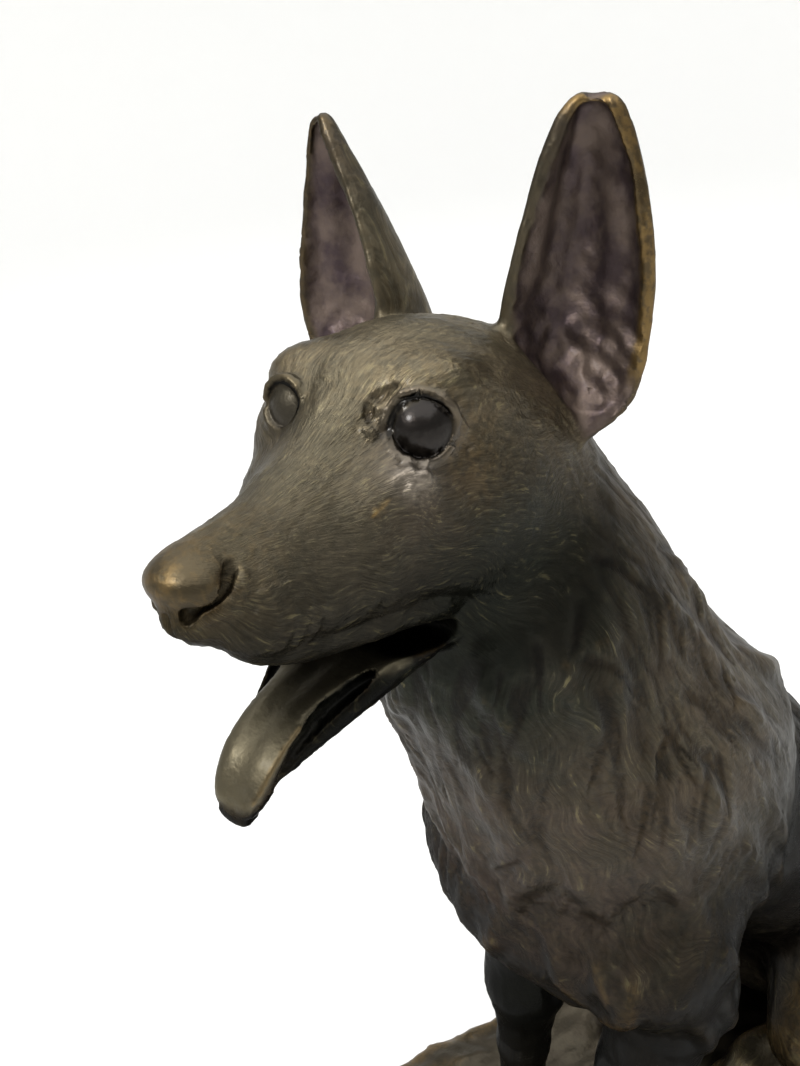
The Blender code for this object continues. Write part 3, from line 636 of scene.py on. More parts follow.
def addNostril(clay, head, side):
    slot = (
        (9.05, 1.45, -3.2), (9.2, 1.42, -3.5), (9.42, 1.4, -3.9), (9.7, 1.22, -4.3),
        (10.1, 0.95, -4.52), (10.35, 0.7, -4.72), (10.42, 0.6, -4.98),
    )
    clay.rope(slot, (0.1, 0.22, 0.29, 0.28, 0.22, 0.25, 0.14), 0.15, head, side, cuts=True)
    wing = ((8.9, 1.62, -3.7), (9.15, 1.68, -4.2), (9.6, 1.5, -4.65), (10.1, 1.05, -4.95))
    clay.rope(wing, (0.1, 0.2, 0.2, 0.12), 0.25, head, side)


def earParts(side):  # the ear's own frame, and its leaf, rim and cup as fields in that frame
    base = np.array([-7.0, side * 4.9, 1.0])
    tip = np.array([-6.2, side * (6.1 if side > 0 else 6.7), 12.6])
    up = unit(tip - base)
    opening = earPlan["opening"]
    front = np.array([math.cos(opening), side * math.sin(opening), 0])
    front = unit(front - (front @ up) * up)
    out = np.cross(front, up)
    out = out * math.copysign(1, out[1] * side)
    turned = np.stack([out, front, up], 1)
    plan = np.stack([
        earPlan["stations"], earPlan["outer"][side], earPlan["inner"][side],
        earPlan["depth"], earPlan["scoop"],
    ], 1)
    stations, outer, inner, deep, scoop = spline(plan, steps=4).T
    wall = dog["earWall"] / unitSize
    least = 0.08

    def planAt(q, values):  # the plan's values at each point's height in the ear
        return np.interp(q[:, 2], stations, values)

    def leaf(q, inset):
        half = np.maximum(planAt(q, (outer - inner) / 2) - inset, least)
        depth = np.maximum(planAt(q, deep) - inset, least)
        x = q[:, 0] - planAt(q, (outer + inner) / 2)
        return (np.sqrt((x / half) ** 2 + (q[:, 1] / depth) ** 2) - 1) * np.minimum(half, depth)

    def rim(q):
        return q[:, 1] - (0.25 + 0.22 * q[:, 0])

    def cup(q):
        half = np.maximum(planAt(q, (outer - inner) / 2) - wall, least)
        share = (q[:, 0] - planAt(q, (outer + inner) / 2)) / half
        depth = planAt(q, scoop) * (1 - np.minimum(share * share, 1.5))
        out = softMax(np.maximum(leaf(q, wall), -0.8 * (rim(q) + depth)), -(q[:, 2] + 0.9), 1.2)
        return softMax(out, q[:, 2] - (earPlan["top"][side] - 0.5), 0.5)

    return base, turned, leaf, rim, cup


def ear(side):  # the back half of an oval cone, with a scoop taken out of it
    base, turned, leaf, rim, cup = earParts(side)

    def distance(p):
        q = (p - base) @ turned
        solid = softMax(leaf(q, 0.0), rim(q), 0.35)
        solid = softMax(solid, q[:, 2] - earPlan["top"][side], 0.5)
        solid = softMax(solid, -(q[:, 2] + 2.2), 0.5)
        return softMax(solid, -cup(q), 0.25)

    return distance, base + turned @ np.array([0, 0, 4.5]), 10.5


# The wavy locks of the neck and chest; depths and radii run from a lock's root to its tip
locks = {
    "rows": 5,
    "inRow": 13,
    "length": 9.5,
    "depths": (0.6, 0.42, 0.36, 0.34, 0.3),
    "radii": (0.3, 0.75, 0.8, 0.6, 0.2),
}


def surfaceFrom(clay, start, direction, far=16.0):
    start = np.asarray(start, float)
    direction = unit(direction)
    runs = np.linspace(0, far, 161)
    field = clay.at(start + runs[:, None] * direction)
    outside = np.nonzero(field > 0)[0]
    run = runs[outside[0]] if len(outside) else far
    point = clay.settle((start + run * direction)[None], 3)[0]
    return point, unit(clay.slope(point[None])[0][0])


def addLocks(clay):  # rows of long wavy locks down the neck and chest
    smooth = Clay()
    smooth.steps = list(clay.steps)
    for row in range(locks["rows"]):
        share = row / (locks["rows"] - 1)
        middle = np.array([-3.4 + 2.8 * share, -2.4 + 2.4 * share, 68 - 27 * share])
        count = locks["inRow"] + row % 2
        for i in range(count):
            shift = 0.25 + 0.5 * (row % 2) + 0.25 * math.sin(4.1 * row + 2.3 * i)
            angle = math.radians(-125 + 250 * (i + shift) / count)
            away = (math.sin(angle), -math.cos(angle), -0.15)
            point, normal = surfaceFrom(smooth, middle, away)
            sway = 0.45 * math.sin(2.1 * row + 1.7 * i)
            flow = np.array([0.0, 0.45 * (1 - math.cos(angle)), -1.0])
            length = locks["length"] + 1.5 * math.sin(1.3 * row + 2.9 * i)
            path = [point - normal * locks["depths"][0]]
            for k, depth in enumerate(locks["depths"][1:]):
                flow[0] = sway + 0.3 * math.sin(2.2 * k + 1.9 * i)
                down = unit(flow - (flow @ normal) * normal)
                point = smooth.settle((point + down * length / (len(locks["depths"]) - 1))[None], 3)[0]
                normal = unit(smooth.slope(point[None])[0][0])
                path.append(point - normal * depth)
            clay.add(joined(chain(path, locks["radii"])), 0.5)


def seatedDog():
    clay = Clay()
    head = headFrame()
    addTrunk(clay)
    for side in (1, -1):
        addForeleg(clay, side)
        addHindLeg(clay, side)
    addTail(clay)
    addLocks(clay)
    clay.add(ground(), 0.5)
    addSkull(clay, head)
    addMouth(clay, head)
    for side in (1, -1):
        clay.add(ear(side), 0.8, head)
        addEye(clay, head, side)
        addNostril(clay, head, side)
    return clay


def spacing(low, high, fineLow, fineHigh):  # grid lines, close together over the head
    out = [low]
    while out[-1] < high:
        out.append(out[-1] + (dog["headGrid"] if fineLow < out[-1] < fineHigh else dog["bodyGrid"]))
    return np.array(out)


# The mesh, finer where the eye goes

# How a triangle is cut when one, two or three sides are halved: 0-2 are its corners, 3-5 the new points
oneCut = ((0, 3, 2), (3, 1, 2))
twoCuts = ((3, 1, 4), (0, 3, 4), (0, 4, 2))
threeCuts = ((0, 3, 5), (3, 1, 4), (5, 4, 2), (3, 4, 5))


def sidesOf(triangles):
    return np.sort(np.concatenate([triangles[:, [0, 1]], triangles[:, [1, 2]], triangles[:, [2, 0]]]), axis=1)


def splitEdges(points, triangles, target):  # one pass: every edge longer than wanted there is halved
    count = len(points)
    sides = sidesOf(triangles)
    key, back = np.unique(sides[:, 0].astype(np.int64) * count + sides[:, 1], return_inverse=True)
    a, b = key // count, key % count
    middle = (points[a] + points[b]) / 2
    long = lengths(points[a] - points[b]) > 1.35 * target(middle)
    number = np.full(len(key), -1)
    number[long] = count + np.arange(long.sum())
    halves = number[back].reshape(3, -1).T
    cuts = (halves >= 0).sum(1)
    out = [triangles[cuts == 0]]
    for turn in range(3):
        both = np.hstack([np.roll(triangles, -turn, axis=1), np.roll(halves, -turn, axis=1)])
        one = (cuts == 1) & (both[:, 3] >= 0)
        two = (cuts == 2) & (both[:, 5] < 0)
        for chosen, pattern in ((one, oneCut), (two, twoCuts)):
            out += [both[chosen][:, corners] for corners in pattern]
    both = np.hstack([triangles, halves])[cuts == 3]
    out += [both[:, corners] for corners in threeCuts]
    return np.concatenate([points, middle[long]]), np.concatenate(out)


def edgesOf(triangles):
    return np.unique(sidesOf(triangles), axis=0)


def spread(values, edges, share):  # each point moves towards the mean of its neighbours
    count = len(values)
    ends = np.concatenate([edges, edges[:, ::-1]])
    number = np.maximum(np.bincount(ends[:, 0], minlength=count), 1)
    flat = values.reshape(count, -1)
    mean = [np.bincount(ends[:, 0], flat[ends[:, 1], i], count) / number for i in range(flat.shape[1])]
    return values + share * (np.stack(mean, 1).reshape(values.shape) - values)


def pointNormals(points, triangles):
    a, b, c = (points[triangles[:, i]] for i in range(3))
    face = np.cross(b - a, c - a)
    out = np.zeros_like(points)
    for i in range(3):
        for k in range(3):
            out[:, k] += np.bincount(triangles[:, i], face[:, k], len(points))
    size = lengths(out)
    area = size / 6
    return out / np.maximum(size, 1e-12)[:, None], area


def relax(points, triangles, share=0.4):  # evens the triangles out, along the surface only
    normals, area = pointNormals(points, triangles)
    move = spread(points, edgesOf(triangles), share) - points
    return points + move - (move * normals).sum(1)[:, None] * normals


def near(p, middle, radius):
    return np.exp(-((p - middle) ** 2).sum(1) / (2 * radius * radius))


def wantedEdge(p):  # how long an edge may be at each place, figure units
    y, z = p.T[1:]
    q = (p - head[1]) @ head[0]
    inHead = headShare(q)
    nearSide = step(-3.5, 0.5, q[:, 1])
    fine = 0.15 - 0.035 * nearSide
    for side in (1, -1):
        for place, edge, reach in ((eyeMiddle(side), 0.085, 2.1), ((9.9, side * 1.2, -4.3), 0.09, 1.3)):
            away = lengths(q - place) / reach
            fine = fine - (fine - edge) * np.exp(-away ** 4)
    front = step(16, -2, y)
    high = step(30, 50, z)
    body = 0.62 - 0.3 * high - 0.1 * front * high
    leg = step(31, 28, z) * step(9, 4, y) * step(0.4, 1.2, z)
    body = body - (body - 0.34) * leg
    body = body + 0.35 * step(0.5, -0.3, z)
    return body + (fine - body) * inHead


def headShare(q):  # 1 in the head, 0 below the collar
    return step(-1.3, 0.9, (q[:, 0] + 7) * 0.75 + (q[:, 2] + 5) * 0.66)


def makeForm():
    base = dog["groundThickness"] / unitSize
    axes = [spacing(-26.3, 26.0, -15.5, 8), spacing(-27.0, 54.0, -24, 4), spacing(-base - 2, 92.0, 58, 92)]
    points, quads = surfaceNet(axes, untangle(clay.grid(axes)))
    say("first net", len(points), "points")
    a, b, c, d = (points[quads[:, i]] for i in range(4))
    short = (lengths(a - c) < lengths(b - d))[:, None]
    first = np.where(short, quads[:, [0, 1, 2]], quads[:, [0, 1, 3]])
    second = np.where(short, quads[:, [0, 2, 3]], quads[:, [1, 2, 3]])
    triangles = np.concatenate([first, second])
    points = clay.settle(points, 1)
    coarse = BVHTree.FromPolygons(points.tolist(), triangles.tolist(), all_triangles=True)
    for turn in range(3):
        points, triangles = splitEdges(points, triangles, wantedEdge)
        points = clay.settle(relax(points, triangles), 1)
        say("halved", turn + 1, len(triangles), "triangles")
    points = clay.settle(relax(points, triangles, 0.25), 2)
    under = points[:, 2] < 0.2 - base
    points[under, 2] = -base
    return points, triangles, under, coarse


# Hair: where it flows, and the sculptor's tool marks along it

# The hair's direction at places of the head and the body, each in its own frame
hairOnHead = (
    ((11, 0, -3), (-1, 0, 0.3)), ((9.5, 1.5, -4.2), (-1, 0.25, 0.25)), ((7, 0, -2.2), (-1, 0, 0.2)),
    ((5, 2.6, -4.0), (-1, 0.25, 0.3)), ((5, 2.6, -6.4), (-1, 0.2, 0.0)), ((3, 0, -0.8), (-1, 0, 0.6)),
    ((2.4, 1.6, -0.6), (-0.5, 0.3, 1)), ((2, 3.6, -2.4), (-1, 0.6, -0.1)), ((-1, 5, -4), (-1, 0.35, -0.3)),
    ((-4, 6, -5), (-0.8, 0.1, -0.6)), ((-3, 5.5, -8), (-0.5, 0.1, -1)), ((0.5, 3, -7.5), (-1, 0.3, -0.2)),
    ((0.3, 0.9, 2.6), (-0.8, 0.3, 0.5)), ((0.6, 3.6, 2.2), (-0.7, 0.6, 0.2)),
    ((-0.9, 4.6, 0.6), (-0.9, 0.3, -0.5)), ((-3, 4.7, 1.4), (-1, 0.25, -0.15)),
    ((-6, 6, -1.5), (-0.6, 0.1, -0.9)), ((-5, 0, 4), (-1, 0, 0.05)), ((-4, 2.6, 3.4), (-1, 0.3, 0.1)),
    ((-10, 0, 1.5), (-0.5, 0, -1)), ((4, 0, -12.8), (-1, 0, -0.5)), ((1, 3, -10.3), (-1, 0.1, 0.1)),
    ((-9, 4, -3), (-0.4, 0.1, -1)),
)
hairOnBody = (
    ((-2.5, 5, 66), (0, 0.3, -1)), ((4, -1, 63), (0.2, 0.15, -1)), ((-2.5, -9.5, 63), (0, 0.1, -1)),
    ((2.5, -8, 61), (-0.45, -0.15, -1)), ((-1, -10, 55), (0, 0.05, -1)), ((0, -8.6, 48), (0, 0.2, -1)),
    ((4, -8, 50), (-0.2, 0.15, -1)), ((0, -6, 41), (0, 0.5, -1)), ((8.5, -1, 54), (0.05, 0.25, -1)),
    ((8.5, 0, 46), (-0.25, -0.15, -1)), ((7, -4, 41), (-0.1, 0.1, -1)), ((0, 10, 60), (0, 0.55, -0.85)),
    ((8, 10, 50), (0.1, 0.4, -0.9)), ((0, 24, 42), (0, 0.65, -0.75)), ((9, 16, 36), (0, 0.35, -0.95)),
    ((0, 38, 20), (0, 0.3, -1)), ((12, 30, 20), (0, 0.25, -1)), ((12, 22, 13), (0, -0.4, -0.9)),
    ((9, 18, 11), (0, -0.7, -0.7)), ((6, 14, 3), (0, -1, -0.5)), ((5.5, 0, 30), (0, 0.1, -1)),
    ((5.4, -1, 15), (0, 0, -1)), ((5.5, -7, 3), (0, -1, -0.7)), ((10, 30, 5), (0, -1, -0.1)),
)


def hairSites():  # (place, direction, reach), in the body's frame
    sites = []
    for place, direction in hairOnHead:
        for side in ((1, -1) if place[1] else (1,)):
            mirror = np.array((1, side, 1))
            sites.append((head[1] + head[0] @ (place * mirror), head[0] @ unit(direction * mirror), 3.0))
    for place, direction in hairOnBody:
        for side in ((1, -1) if place[0] > 2 else (1,)):
            mirror = np.array((side, 1, 1))
            sites.append((place * mirror, unit(direction * mirror), 5.0))
    path = spline(tailPath, steps=2)
    for a, b in zip(path, path[1:]):
        sites.append((a, unit(b - a), 3.5))
    return sites


def hairFlow(points, normals, q):
    flow = np.zeros_like(points)
    for place, direction, reach in hairSites():
        distance2 = ((points - place) ** 2).sum(1)
        flow += (1 / (1 + distance2 / (reach * reach)) ** 3)[:, None] * direction
    for side in (1, -1):  # an ear's hair runs up to its tip
        base, turned, leaf = earParts(side)[:3]
        e = (q - base) @ turned
        onEar = step(0.2, 2.0, e[:, 2]) * step(1.2, 0.3, leaf(e, 0.0))
        up = head[0] @ turned[:, 2]
        flow = flow * (1 - onEar)[:, None] + onEar[:, None] * up * lengths(flow)[:, None]
    flow -= (flow * normals).sum(1)[:, None] * normals
    flow /= np.maximum(lengths(flow), 1e-9)[:, None]
    turn = 0.28 * wave(points, 5.5, 11) + 0.2 * wave(points, 2.2, 12)
    curls = near(points, (-1.5, -7, 44), 4.0)  # curled locks low on the chest
    turn = turn + curls * 1.0 * wave(points, 3.2, 13)
    side = np.cross(normals, flow)
    return flow * np.cos(turn)[:, None] + side * np.sin(turn)[:, None]


# Length, width, depth and cover of the tool marks by zone; depth 1 is dog["strokeDepth"]
hair = {
    "face": (1.3, 0.25, 0.2, 1.7),
    "ears": (1.6, 0.34, 0.15, 0.8),
    "neck": (4.6, 0.6, 0.75, 1.5),
    "neckFine": (2.2, 0.36, 0.4, 1.3),
    "chest": (1.7, 0.42, 0.42, 1.8),
    "coat": (3.4, 0.85, 0.6, 1.7),
    "legs": (2.0, 0.6, 0.25, 1.3),
}


def toolMarks(points, normals, area, flow, zones):
    tree = KDTree(len(points))
    for i, p in enumerate(points):
        tree.insert(p, i)
    tree.balance()
    rng = np.random.default_rng(dog["seed"])
    relief = np.zeros(len(points))
    for name, (length, width, depth, cover) in hair.items():
        weight = area * zones[name]
        number = int(cover * weight.sum() / (length * width))
        if number == 0:
            continue
        places = rng.choice(len(points), number, p=weight / weight.sum())
        for place in places:
            long = length * rng.uniform(0.6, 1.35) / 2
            wide = width * rng.uniform(0.6, 1.3) / 2
            deep = depth * rng.uniform(0.5, 1.1) * zones[name][place]
            bend = rng.normal() * 0.12
            found = np.array([hit[1] for hit in tree.find_range(points[place], long)])
            offset = points[found] - points[place]
            ahead = flow[place]
            across = np.cross(normals[place], ahead)
            u = offset @ ahead / long
            v = (offset @ across - bend * long * u * u) / (wide * (1.05 - 0.55 * u))  # narrows to its tip
            inside = (np.abs(u) < 1) & (np.abs(v) < 1) & (normals[found] @ normals[place] > 0.1)
            u, v, found = u[inside], v[inside], found[inside]
            mark = deep * (1 - v * v) ** 0.8 * np.sqrt(1 - u ** 4)
            relief[found] = np.maximum(relief[found], mark)
        say("tool marks", name, number)
    return -relief


tongueEdge = (
    (8.1, 0.9, -13.01), (7.81, 1.14, -12.41), (7.39, 1.29, -11.75), (6.74, 1.37, -11.15),
    (5.92, 1.42, -10.69),
)

# Grooves and ridges of the face in the head's frame: path, half-width, height (minus is a groove)
faceLines = (
    (
        (
            (2.23, 2.92, -0.51), (2.04, 3.54, -0.88), (1.62, 4.1, -0.95),
            (0.86, 4.46, -0.69), (0.63, 4.61, -0.34),
        ),
        0.2, 0.3,
    ),
    (
        ((2.4, 3.35, -0.95), (2.3, 3.8, -1.1), (2.0, 4.2, -1.15), (1.4, 4.5, -1.05), (0.8, 4.65, -0.9)),
        0.15, -0.4,
    ),
    (((2.29, 1.85, 0.08), (2.19, 2.14, -0.13)), 0.28, 0.9),
    (((1.7, 1.66, 0.96), (1.82, 2.1, 0.8)), 0.24, 0.8),
    (
        ((1.54, 2.92, 1.42), (1.09, 3.33, 1.44), (0.93, 3.92, 1.33), (0.53, 4.47, 0.93), (-0.17, 4.71, 0.12)),
        0.2, 0.5,
    ),
    (((0.5, 4.68, -0.3), (0.2, 4.78, -0.5), (-0.4, 4.85, -0.6)), 0.16, -0.6),
    (tongueEdge, 0.17, 0.5),
    (((2.6, 0, -9.6), (5.2, 0.05, -10.1), (7.2, 0.05, -11.2), (8.15, -0.05, -12.8)), 0.7, -0.5),
    (((10.75, 0, -4.9), (10.6, 0, -5.4), (10.1, 0, -6.1), (9.5, 0, -6.5)), 0.17, -1.0),
)

# Metal rubbed bare in a line: a scratch on the cheek and the tongue's edge
bareLines = (
    (((3.83, 3.18, -2.69), (3.52, 3.36, -2.43), (3.25, 3.52, -2.13)), 0.1, 0.8),
    (tongueEdge, 0.12, 0.5),
)
bagMiddle = (2.3, 3.95, -1.35)  # the wrinkled bag under the near eye


def carve(q, relief, path, width, height):
    path = spline(path, steps=8)
    close = np.nonzero(((q > path.min(0) - width) & (q < path.max(0) + width)).all(1))[0]
    if len(close) == 0:
        return
    p = q[close]
    best = np.full(len(p), 1e9)
    for a, b in zip(path, path[1:]):
        along = b - a
        t = np.clip((p - a) @ along / (along @ along), 0, 1)
        best = np.minimum(best, ((p - a - t[:, None] * along) ** 2).sum(1))
    share = np.sqrt(best) / width
    relief[close] += height * np.maximum(1 - share * share, 0) ** 1.5


def faceRelief(q):
    relief = np.zeros(len(q))
    for path, width, height in faceLines:
        carve(q, relief, path, width, height)
    relief += near(q, bagMiddle, 0.5) * (0.8 * wave(q, 0.8, 15) + 0.2)
    flat = q * (1, 0, 1)
    pads = step(0.9, 1.3, np.abs(q[:, 1]))
    for row in range(4):  # whisker pads: short rows of pimples
        for i in range(5):
            place = (9.0 - 0.6 * i + 0.12 * row, 0, -4.95 - 0.42 * row - 0.05 * i)
            relief += 0.45 * pads * near(flat, place, 0.12)
    return relief


def lidZones(q, side):  # the ball, the painted shadow under the upper lid, and the lids' edges
    look, up, out = eyeAxes(side)
    away = q - eyeMiddle(side)
    radius = np.hypot(away @ up, away @ out)
    angle = np.degrees(np.arctan2(away @ out, away @ up))
    front = step(0.0, 0.4, away @ look) * (lengths(away) < 2.6)
    size = eyes[side]["opening"]
    upper = step(-130, -95, angle) * step(95, 60, angle)
    end = size + 0.26 - 0.14 * step(-20, 70, angle)
    ball = front * step(size + 0.04, size - 0.04, radius)
    shadow = front * upper * step(size - 0.05, size + 0.03, radius) * step(end + 0.06, end - 0.02, radius)
    ridge = front * upper * step(end, end + 0.08, radius) * step(end + 0.34, end + 0.16, radius)
    ledge = front * (1 - upper) * step(size, size + 0.08, radius) * step(size + 0.38, size + 0.22, radius)
    return ball, shadow, np.maximum(ridge, 0.7 * ledge)


def earRelief(q, e, inside, rimness):  # lumpy flesh low in the cup, soft folds above
    low = step(5.0, 1.5, e[:, 2])
    lumps = 0.5 * wave(q, 2.2, 21) + 0.25 * wave(q, 0.9, 22)
    folds = 0.5 * wave(e * (1, 1, 0.22), 1.7, 23) + 0.12 * wave(q, 0.8, 24)
    return inside * (lumps * (0.2 + 1.1 * low) + folds * (1 - low)) + rimness * 0.12 * wave(q, 1.6, 25)


# What the surface knows: zones for hair, patina and painted shade

def surfaceZones(points, normals, q):
    ahead, left, up = q.T
    y, z = points.T[1:]
    inHead = headShare(q)
    wall = dog["earWall"] / unitSize
    out = {}
    marks = np.zeros(len(points))
    for side in (1, -1):
        ball, shadow, lid = lidZones(q, side)
        base, turned, leaf, rim = earParts(side)[:4]
        e = (q - base) @ turned
        skin = leaf(e, 0.0)
        local = step(-2.6, -1.6, e[:, 2]) * step(0.8, 0.4, skin)
        inside = local * step(0.35 * wall, 0.7 * wall, -skin) * step(0.3, -0.05, rim(e))
        edge = local * step(0.4, 0.1, np.abs(rim(e))) * step(-0.75, -0.45, skin) * step(0.2, 1.5, e[:, 2])
        outerEdge = edge * np.maximum(step(0.2, 1.2, e[:, 0]), step(10.4, 11.2, e[:, 2]))
        for name, values in {
            "eyes": ball, "shadows": shadow, "lids": lid, "cups": inside * (1 - edge), "rims": edge,
            "worn": outerEdge * (1.0 if side > 0 else 0.2), "onEar": step(0.0, 1.5, e[:, 2]) * local,
        }.items():
            out[name] = np.maximum(out.get(name, 0), values)
        marks += earRelief(q, e, inside, edge)
    mouth = inHead * step(-8.2, -8.6, up + 0.14 * ahead) * step(-3.4, -1.5, ahead)
    mouth = mouth * step(3.0, 2.2, np.abs(left) + 0.14 * ahead)
    mouth = mouth * step(-9.9, -9.5, up + 0.34 * ahead)
    facing = normals @ head[0]
    mouth = mouth * np.maximum(step(0.1, -0.3, facing[:, 2]), step(4.3, 3.0, ahead))
    slit = np.interp(ahead, (2.2, 3.2, 4.65, 6.1, 7.0, 9.0), (-9.8, -10.0, -10.6, -11.4, -12.3, -14.5))
    tongue = inHead * step(0.3, 1.6, ahead) * step(-8.8, -9.2, up) * step(0.05, 0.25, up - slit)
    tongue = tongue * step(0.0, 0.15, facing[:, 2] + 0.5 * facing[:, 0])
    out["tongue"] = tongue
    out["mouth"] = mouth * (1 - tongue)
    jaw = inHead * step(0.5, 1.8, ahead) * step(0.05, -0.2, up - slit)
    out["jaw"] = jaw * step(-9.3, -9.7, up)
    out["nose"] = np.exp(-(lengths((q - (10.3, 0, -3.8)) / (1.2, 1.6, 1.1))) ** 4)
    smooth = ("eyes", "shadows", "lids", "cups", "rims", "mouth", "tongue", "nose")  # without hair
    bare = np.clip(sum(out[name] for name in smooth), 0, 1)
    onGround = np.clip(step(0.9, 0.1, z) + step(0.3, -0.3, z), 0, 1)
    neck = (1 - inHead) * step(50, 56, z) * step(12, 6, y)
    chest = (1 - inHead) * (1 - neck) * step(36, 42, z) * step(11, 5, y)
    legs = step(38, 32, z) * step(9, 5, y)
    paws = step(5.5, 4.0, z) * step(26, 22, y)
    aboveGround = step(-0.8, 1.2, z)
    coat = (1 - inHead) * (1 - neck) * (1 - chest) * (1 - legs) * (1 - onGround) * (1 - paws) * aboveGround
    out["face"] = inHead * (1 - bare) * (1 - out["onEar"])
    out["ears"] = out["onEar"] * (1 - out["cups"]) * (1 - out["rims"])
    out["legs"] = legs * (1 - onGround) * (1 - 0.6 * paws)
    out.update(neck=neck, neckFine=neck, chest=chest, coat=coat, bare=bare, ground=onGround)
    return out, marks + 0.15 * out["lids"] - 0.15 * out["shadows"]


def combed(points, q):  # coordinates that run along the hair: slow along it, quick across it
    ahead, left, up = q.T
    x, y, z = points.T
    def ringAt(a, b, radius):
        size = np.maximum(np.hypot(a, b), 0.3)
        return a / size * radius, b / size * radius

    a, b = ringAt(left, up + 3.4 - 0.2 * ahead.clip(-6, 0), 4.5)
    sway = 0.25 * wave(q, 3.0, 31)
    out = {"combHead": np.stack([a + sway, b + sway, ahead / 7], 1)}
    lean = np.interp(z, (8, 28, 46, 56, 70), (30, 24, 6, 0, -4))
    a, b = ringAt(x + 1.2, y - lean, 9.0)
    sway = 0.4 * wave(points, 5.0, 32) + 0.15 * wave(points, 2.0, 33)
    out["combTrunk"] = np.stack([a + sway, b + sway, z / 7], 1)
    side = np.where(x > 0, 5.3, -5.3)
    a, b = ringAt(x - side, y + 1.0, 2.6)
    out["combLegs"] = np.stack([a, b, z / 7], 1)
    return out


def curvature(points, triangles, normals, rounds):  # above 0 on edges and bulges, below 0 in hollows
    edges = edgesOf(triangles)
    smooth = points
    for _ in range(rounds):
        smooth = spread(smooth, edges, 0.6)
    return ((points - smooth) * normals).sum(1)


# Patina by place, in the head's or the body's frame: middle, reach, olive, plum, green-black, worn bare. The
# green-black amounts low on the head, under the jaw and nose and on the legs and flank are painted shade
# where little light reaches
stainsAndShade = {
    "head": (
        ((-2.0, 0, 3.2), 4.2, 1.0, 0.0, 0.0, 0.1), ((4.5, 0, -1.6), 3.6, 0.8, 0.0, 0.0, 0.1),
        ((-6.5, 0, 4.0), 3.0, 1.0, 0.0, 0.0, 0.1), ((0.6, 3.3, 2.4), 1.6, 0.7, 0.0, 0.0, 0.3),
        ((9.8, 0, -2.9), 1.7, 0.8, 0.0, 0.0, 0.6), ((11.0, 0, -3.6), 0.9, 0.3, 0.0, 0.0, 1.0),
        ((1.0, 4.0, -2.2), 1.7, 0.1, 0.5, 0.0, 0.1), ((-1.2, 5.2, -3.6), 2.8, 0.0, 0.1, 1.2, 0.0),
        ((5.5, 2.4, -5.0), 2.6, 0.35, 0.1, 0.4, 0.0), ((-3.5, 6.0, -7.5), 3.0, 0.0, 0.1, 1.1, 0.0),
        ((10.6, 0.0, -5.3), 0.8, 0.0, 0.0, 2.0, 0.0), ((9.2, 1.4, -5.4), 0.9, 0.2, 0.0, 0.8, 0.0),
        ((-5.0, 4.8, 1.5), 2.2, 0.6, 0.2, 0.0, 0.2), ((-0.4, 4.7, -1.2), 1.0, 0.2, 0.0, 0.0, 0.6),
        ((7.2, 2.2, -6.4), 1.9, 0.05, 0.1, 1.3, 0.0), ((4.0, 1.9, -11.3), 1.6, 0.0, 0.1, 2.0, 0.0),
        ((-2.4, 3.4, -11.0), 2.4, 0.0, 0.0, 2.2, 0.0), ((1.5, 3.8, -6.5), 2.4, 0.1, 0.1, 0.8, 0.0),
    ),
    "body": (
        ((2.5, -9, 62), 4.0, 0.1, 0.1, 1.1, 0.0), ((-1, -9.5, 50), 5.5, 0.1, 0.6, 0.4, 0.1),
        ((6, -5, 48), 5.0, 0.1, 0.5, 0.6, 0.1), ((9, 0, 56), 5.0, 0.6, 0.2, 0.1, 0.1),
        ((0, 10, 60), 6.0, 0.5, 0.1, 0.2, 0.1), ((6, -4, 36), 4.0, 0.2, 0.3, 0.8, 0.1),
        ((5.5, -1.5, 26), 7.0, 0.0, 0.1, 1.8, 0.0), ((10, 8, 46), 8.0, 0.1, 0.2, 1.2, 0.0),
        ((6, 18.5, 3), 4.5, 0.9, 0.0, 0.1, 0.1), ((0, 15, 0.5), 24.0, 0.3, 0.1, 0.1, 0.0),
    ),
}


def patinaAndShadeByPlace(points, q):
    weight = np.full(len(points), 0.35)
    tint = np.tile((0.3, 0.25, 0.25, 0.08), (len(points), 1)) * weight[:, None]
    for where, places, across in (("head", q, 1), ("body", points, 0)):
        for middle, reach, *amounts in stainsAndShade[where]:
            for side in ((1, -1) if middle[across] else (1,)):
                mirrored = np.array(middle, float)
                mirrored[across] *= side
                share = near(places, mirrored, reach)
                tint += share[:, None] * amounts
                weight += share
    return tint / weight[:, None]


def addNode(tree, kind, inputs=(), **settings):  # inputs in order or by name; gives back the node's outputs
    node = tree.nodes.new(kind)
    for name, value in settings.items():
        setattr(node, name, value)
    for name, value in inputs.items() if isinstance(inputs, dict) else enumerate(inputs):
        if isinstance(value, bpy.types.NodeSocket):
            tree.links.new(value, node.inputs[name])
        else:
            node.inputs[name].default_value = value
    return node.outputs


def colour(text):  # sRGB hex to linear
    parts = [int(text[i:i + 2], 16) / 255 for i in (0, 2, 4)]
    return tuple(v / 12.92 if v <= 0.04045 else ((v + 0.055) / 1.055) ** 2.4 for v in parts) + (1,)


finish = {
    "brown": "3b352c",  # the casting's own dark brown patina
    "olive": "77705b",  # dusty rub on what faces up
    "plum": "51454a",
    "flesh": "83746d",  # the paler purple-brown inside the ears
    "greenBlackAndShade": "1c1f19",  # green-black patina in the recesses, and painted shade on undersides, inside the mouth and in places that little light reaches
    "gold": "8e7448",  # metal worn bare, and painted highlight on the ridges round the near eye
    "fleck": "857c58",  # dashes of hair where the patina is rubbed thin
    # black: the painted shade in hollows, grooves and low places, and half of the clouds' colour
    "black": "0a0908",
    "eye": "2a2521",  # the eyeballs, smoothed and dark
    "paintedHighlight": "958b7e",  # painted highlight in grey on the lids and the bag under the near eye
    "metallic": 0.85,
    "waxRoughness": 0.18,
    "hairScale": 4.6,  # strokes per figure unit across the hair
    "hairHeight": 0.00022,
    "grainHeight": 0.00012,
}


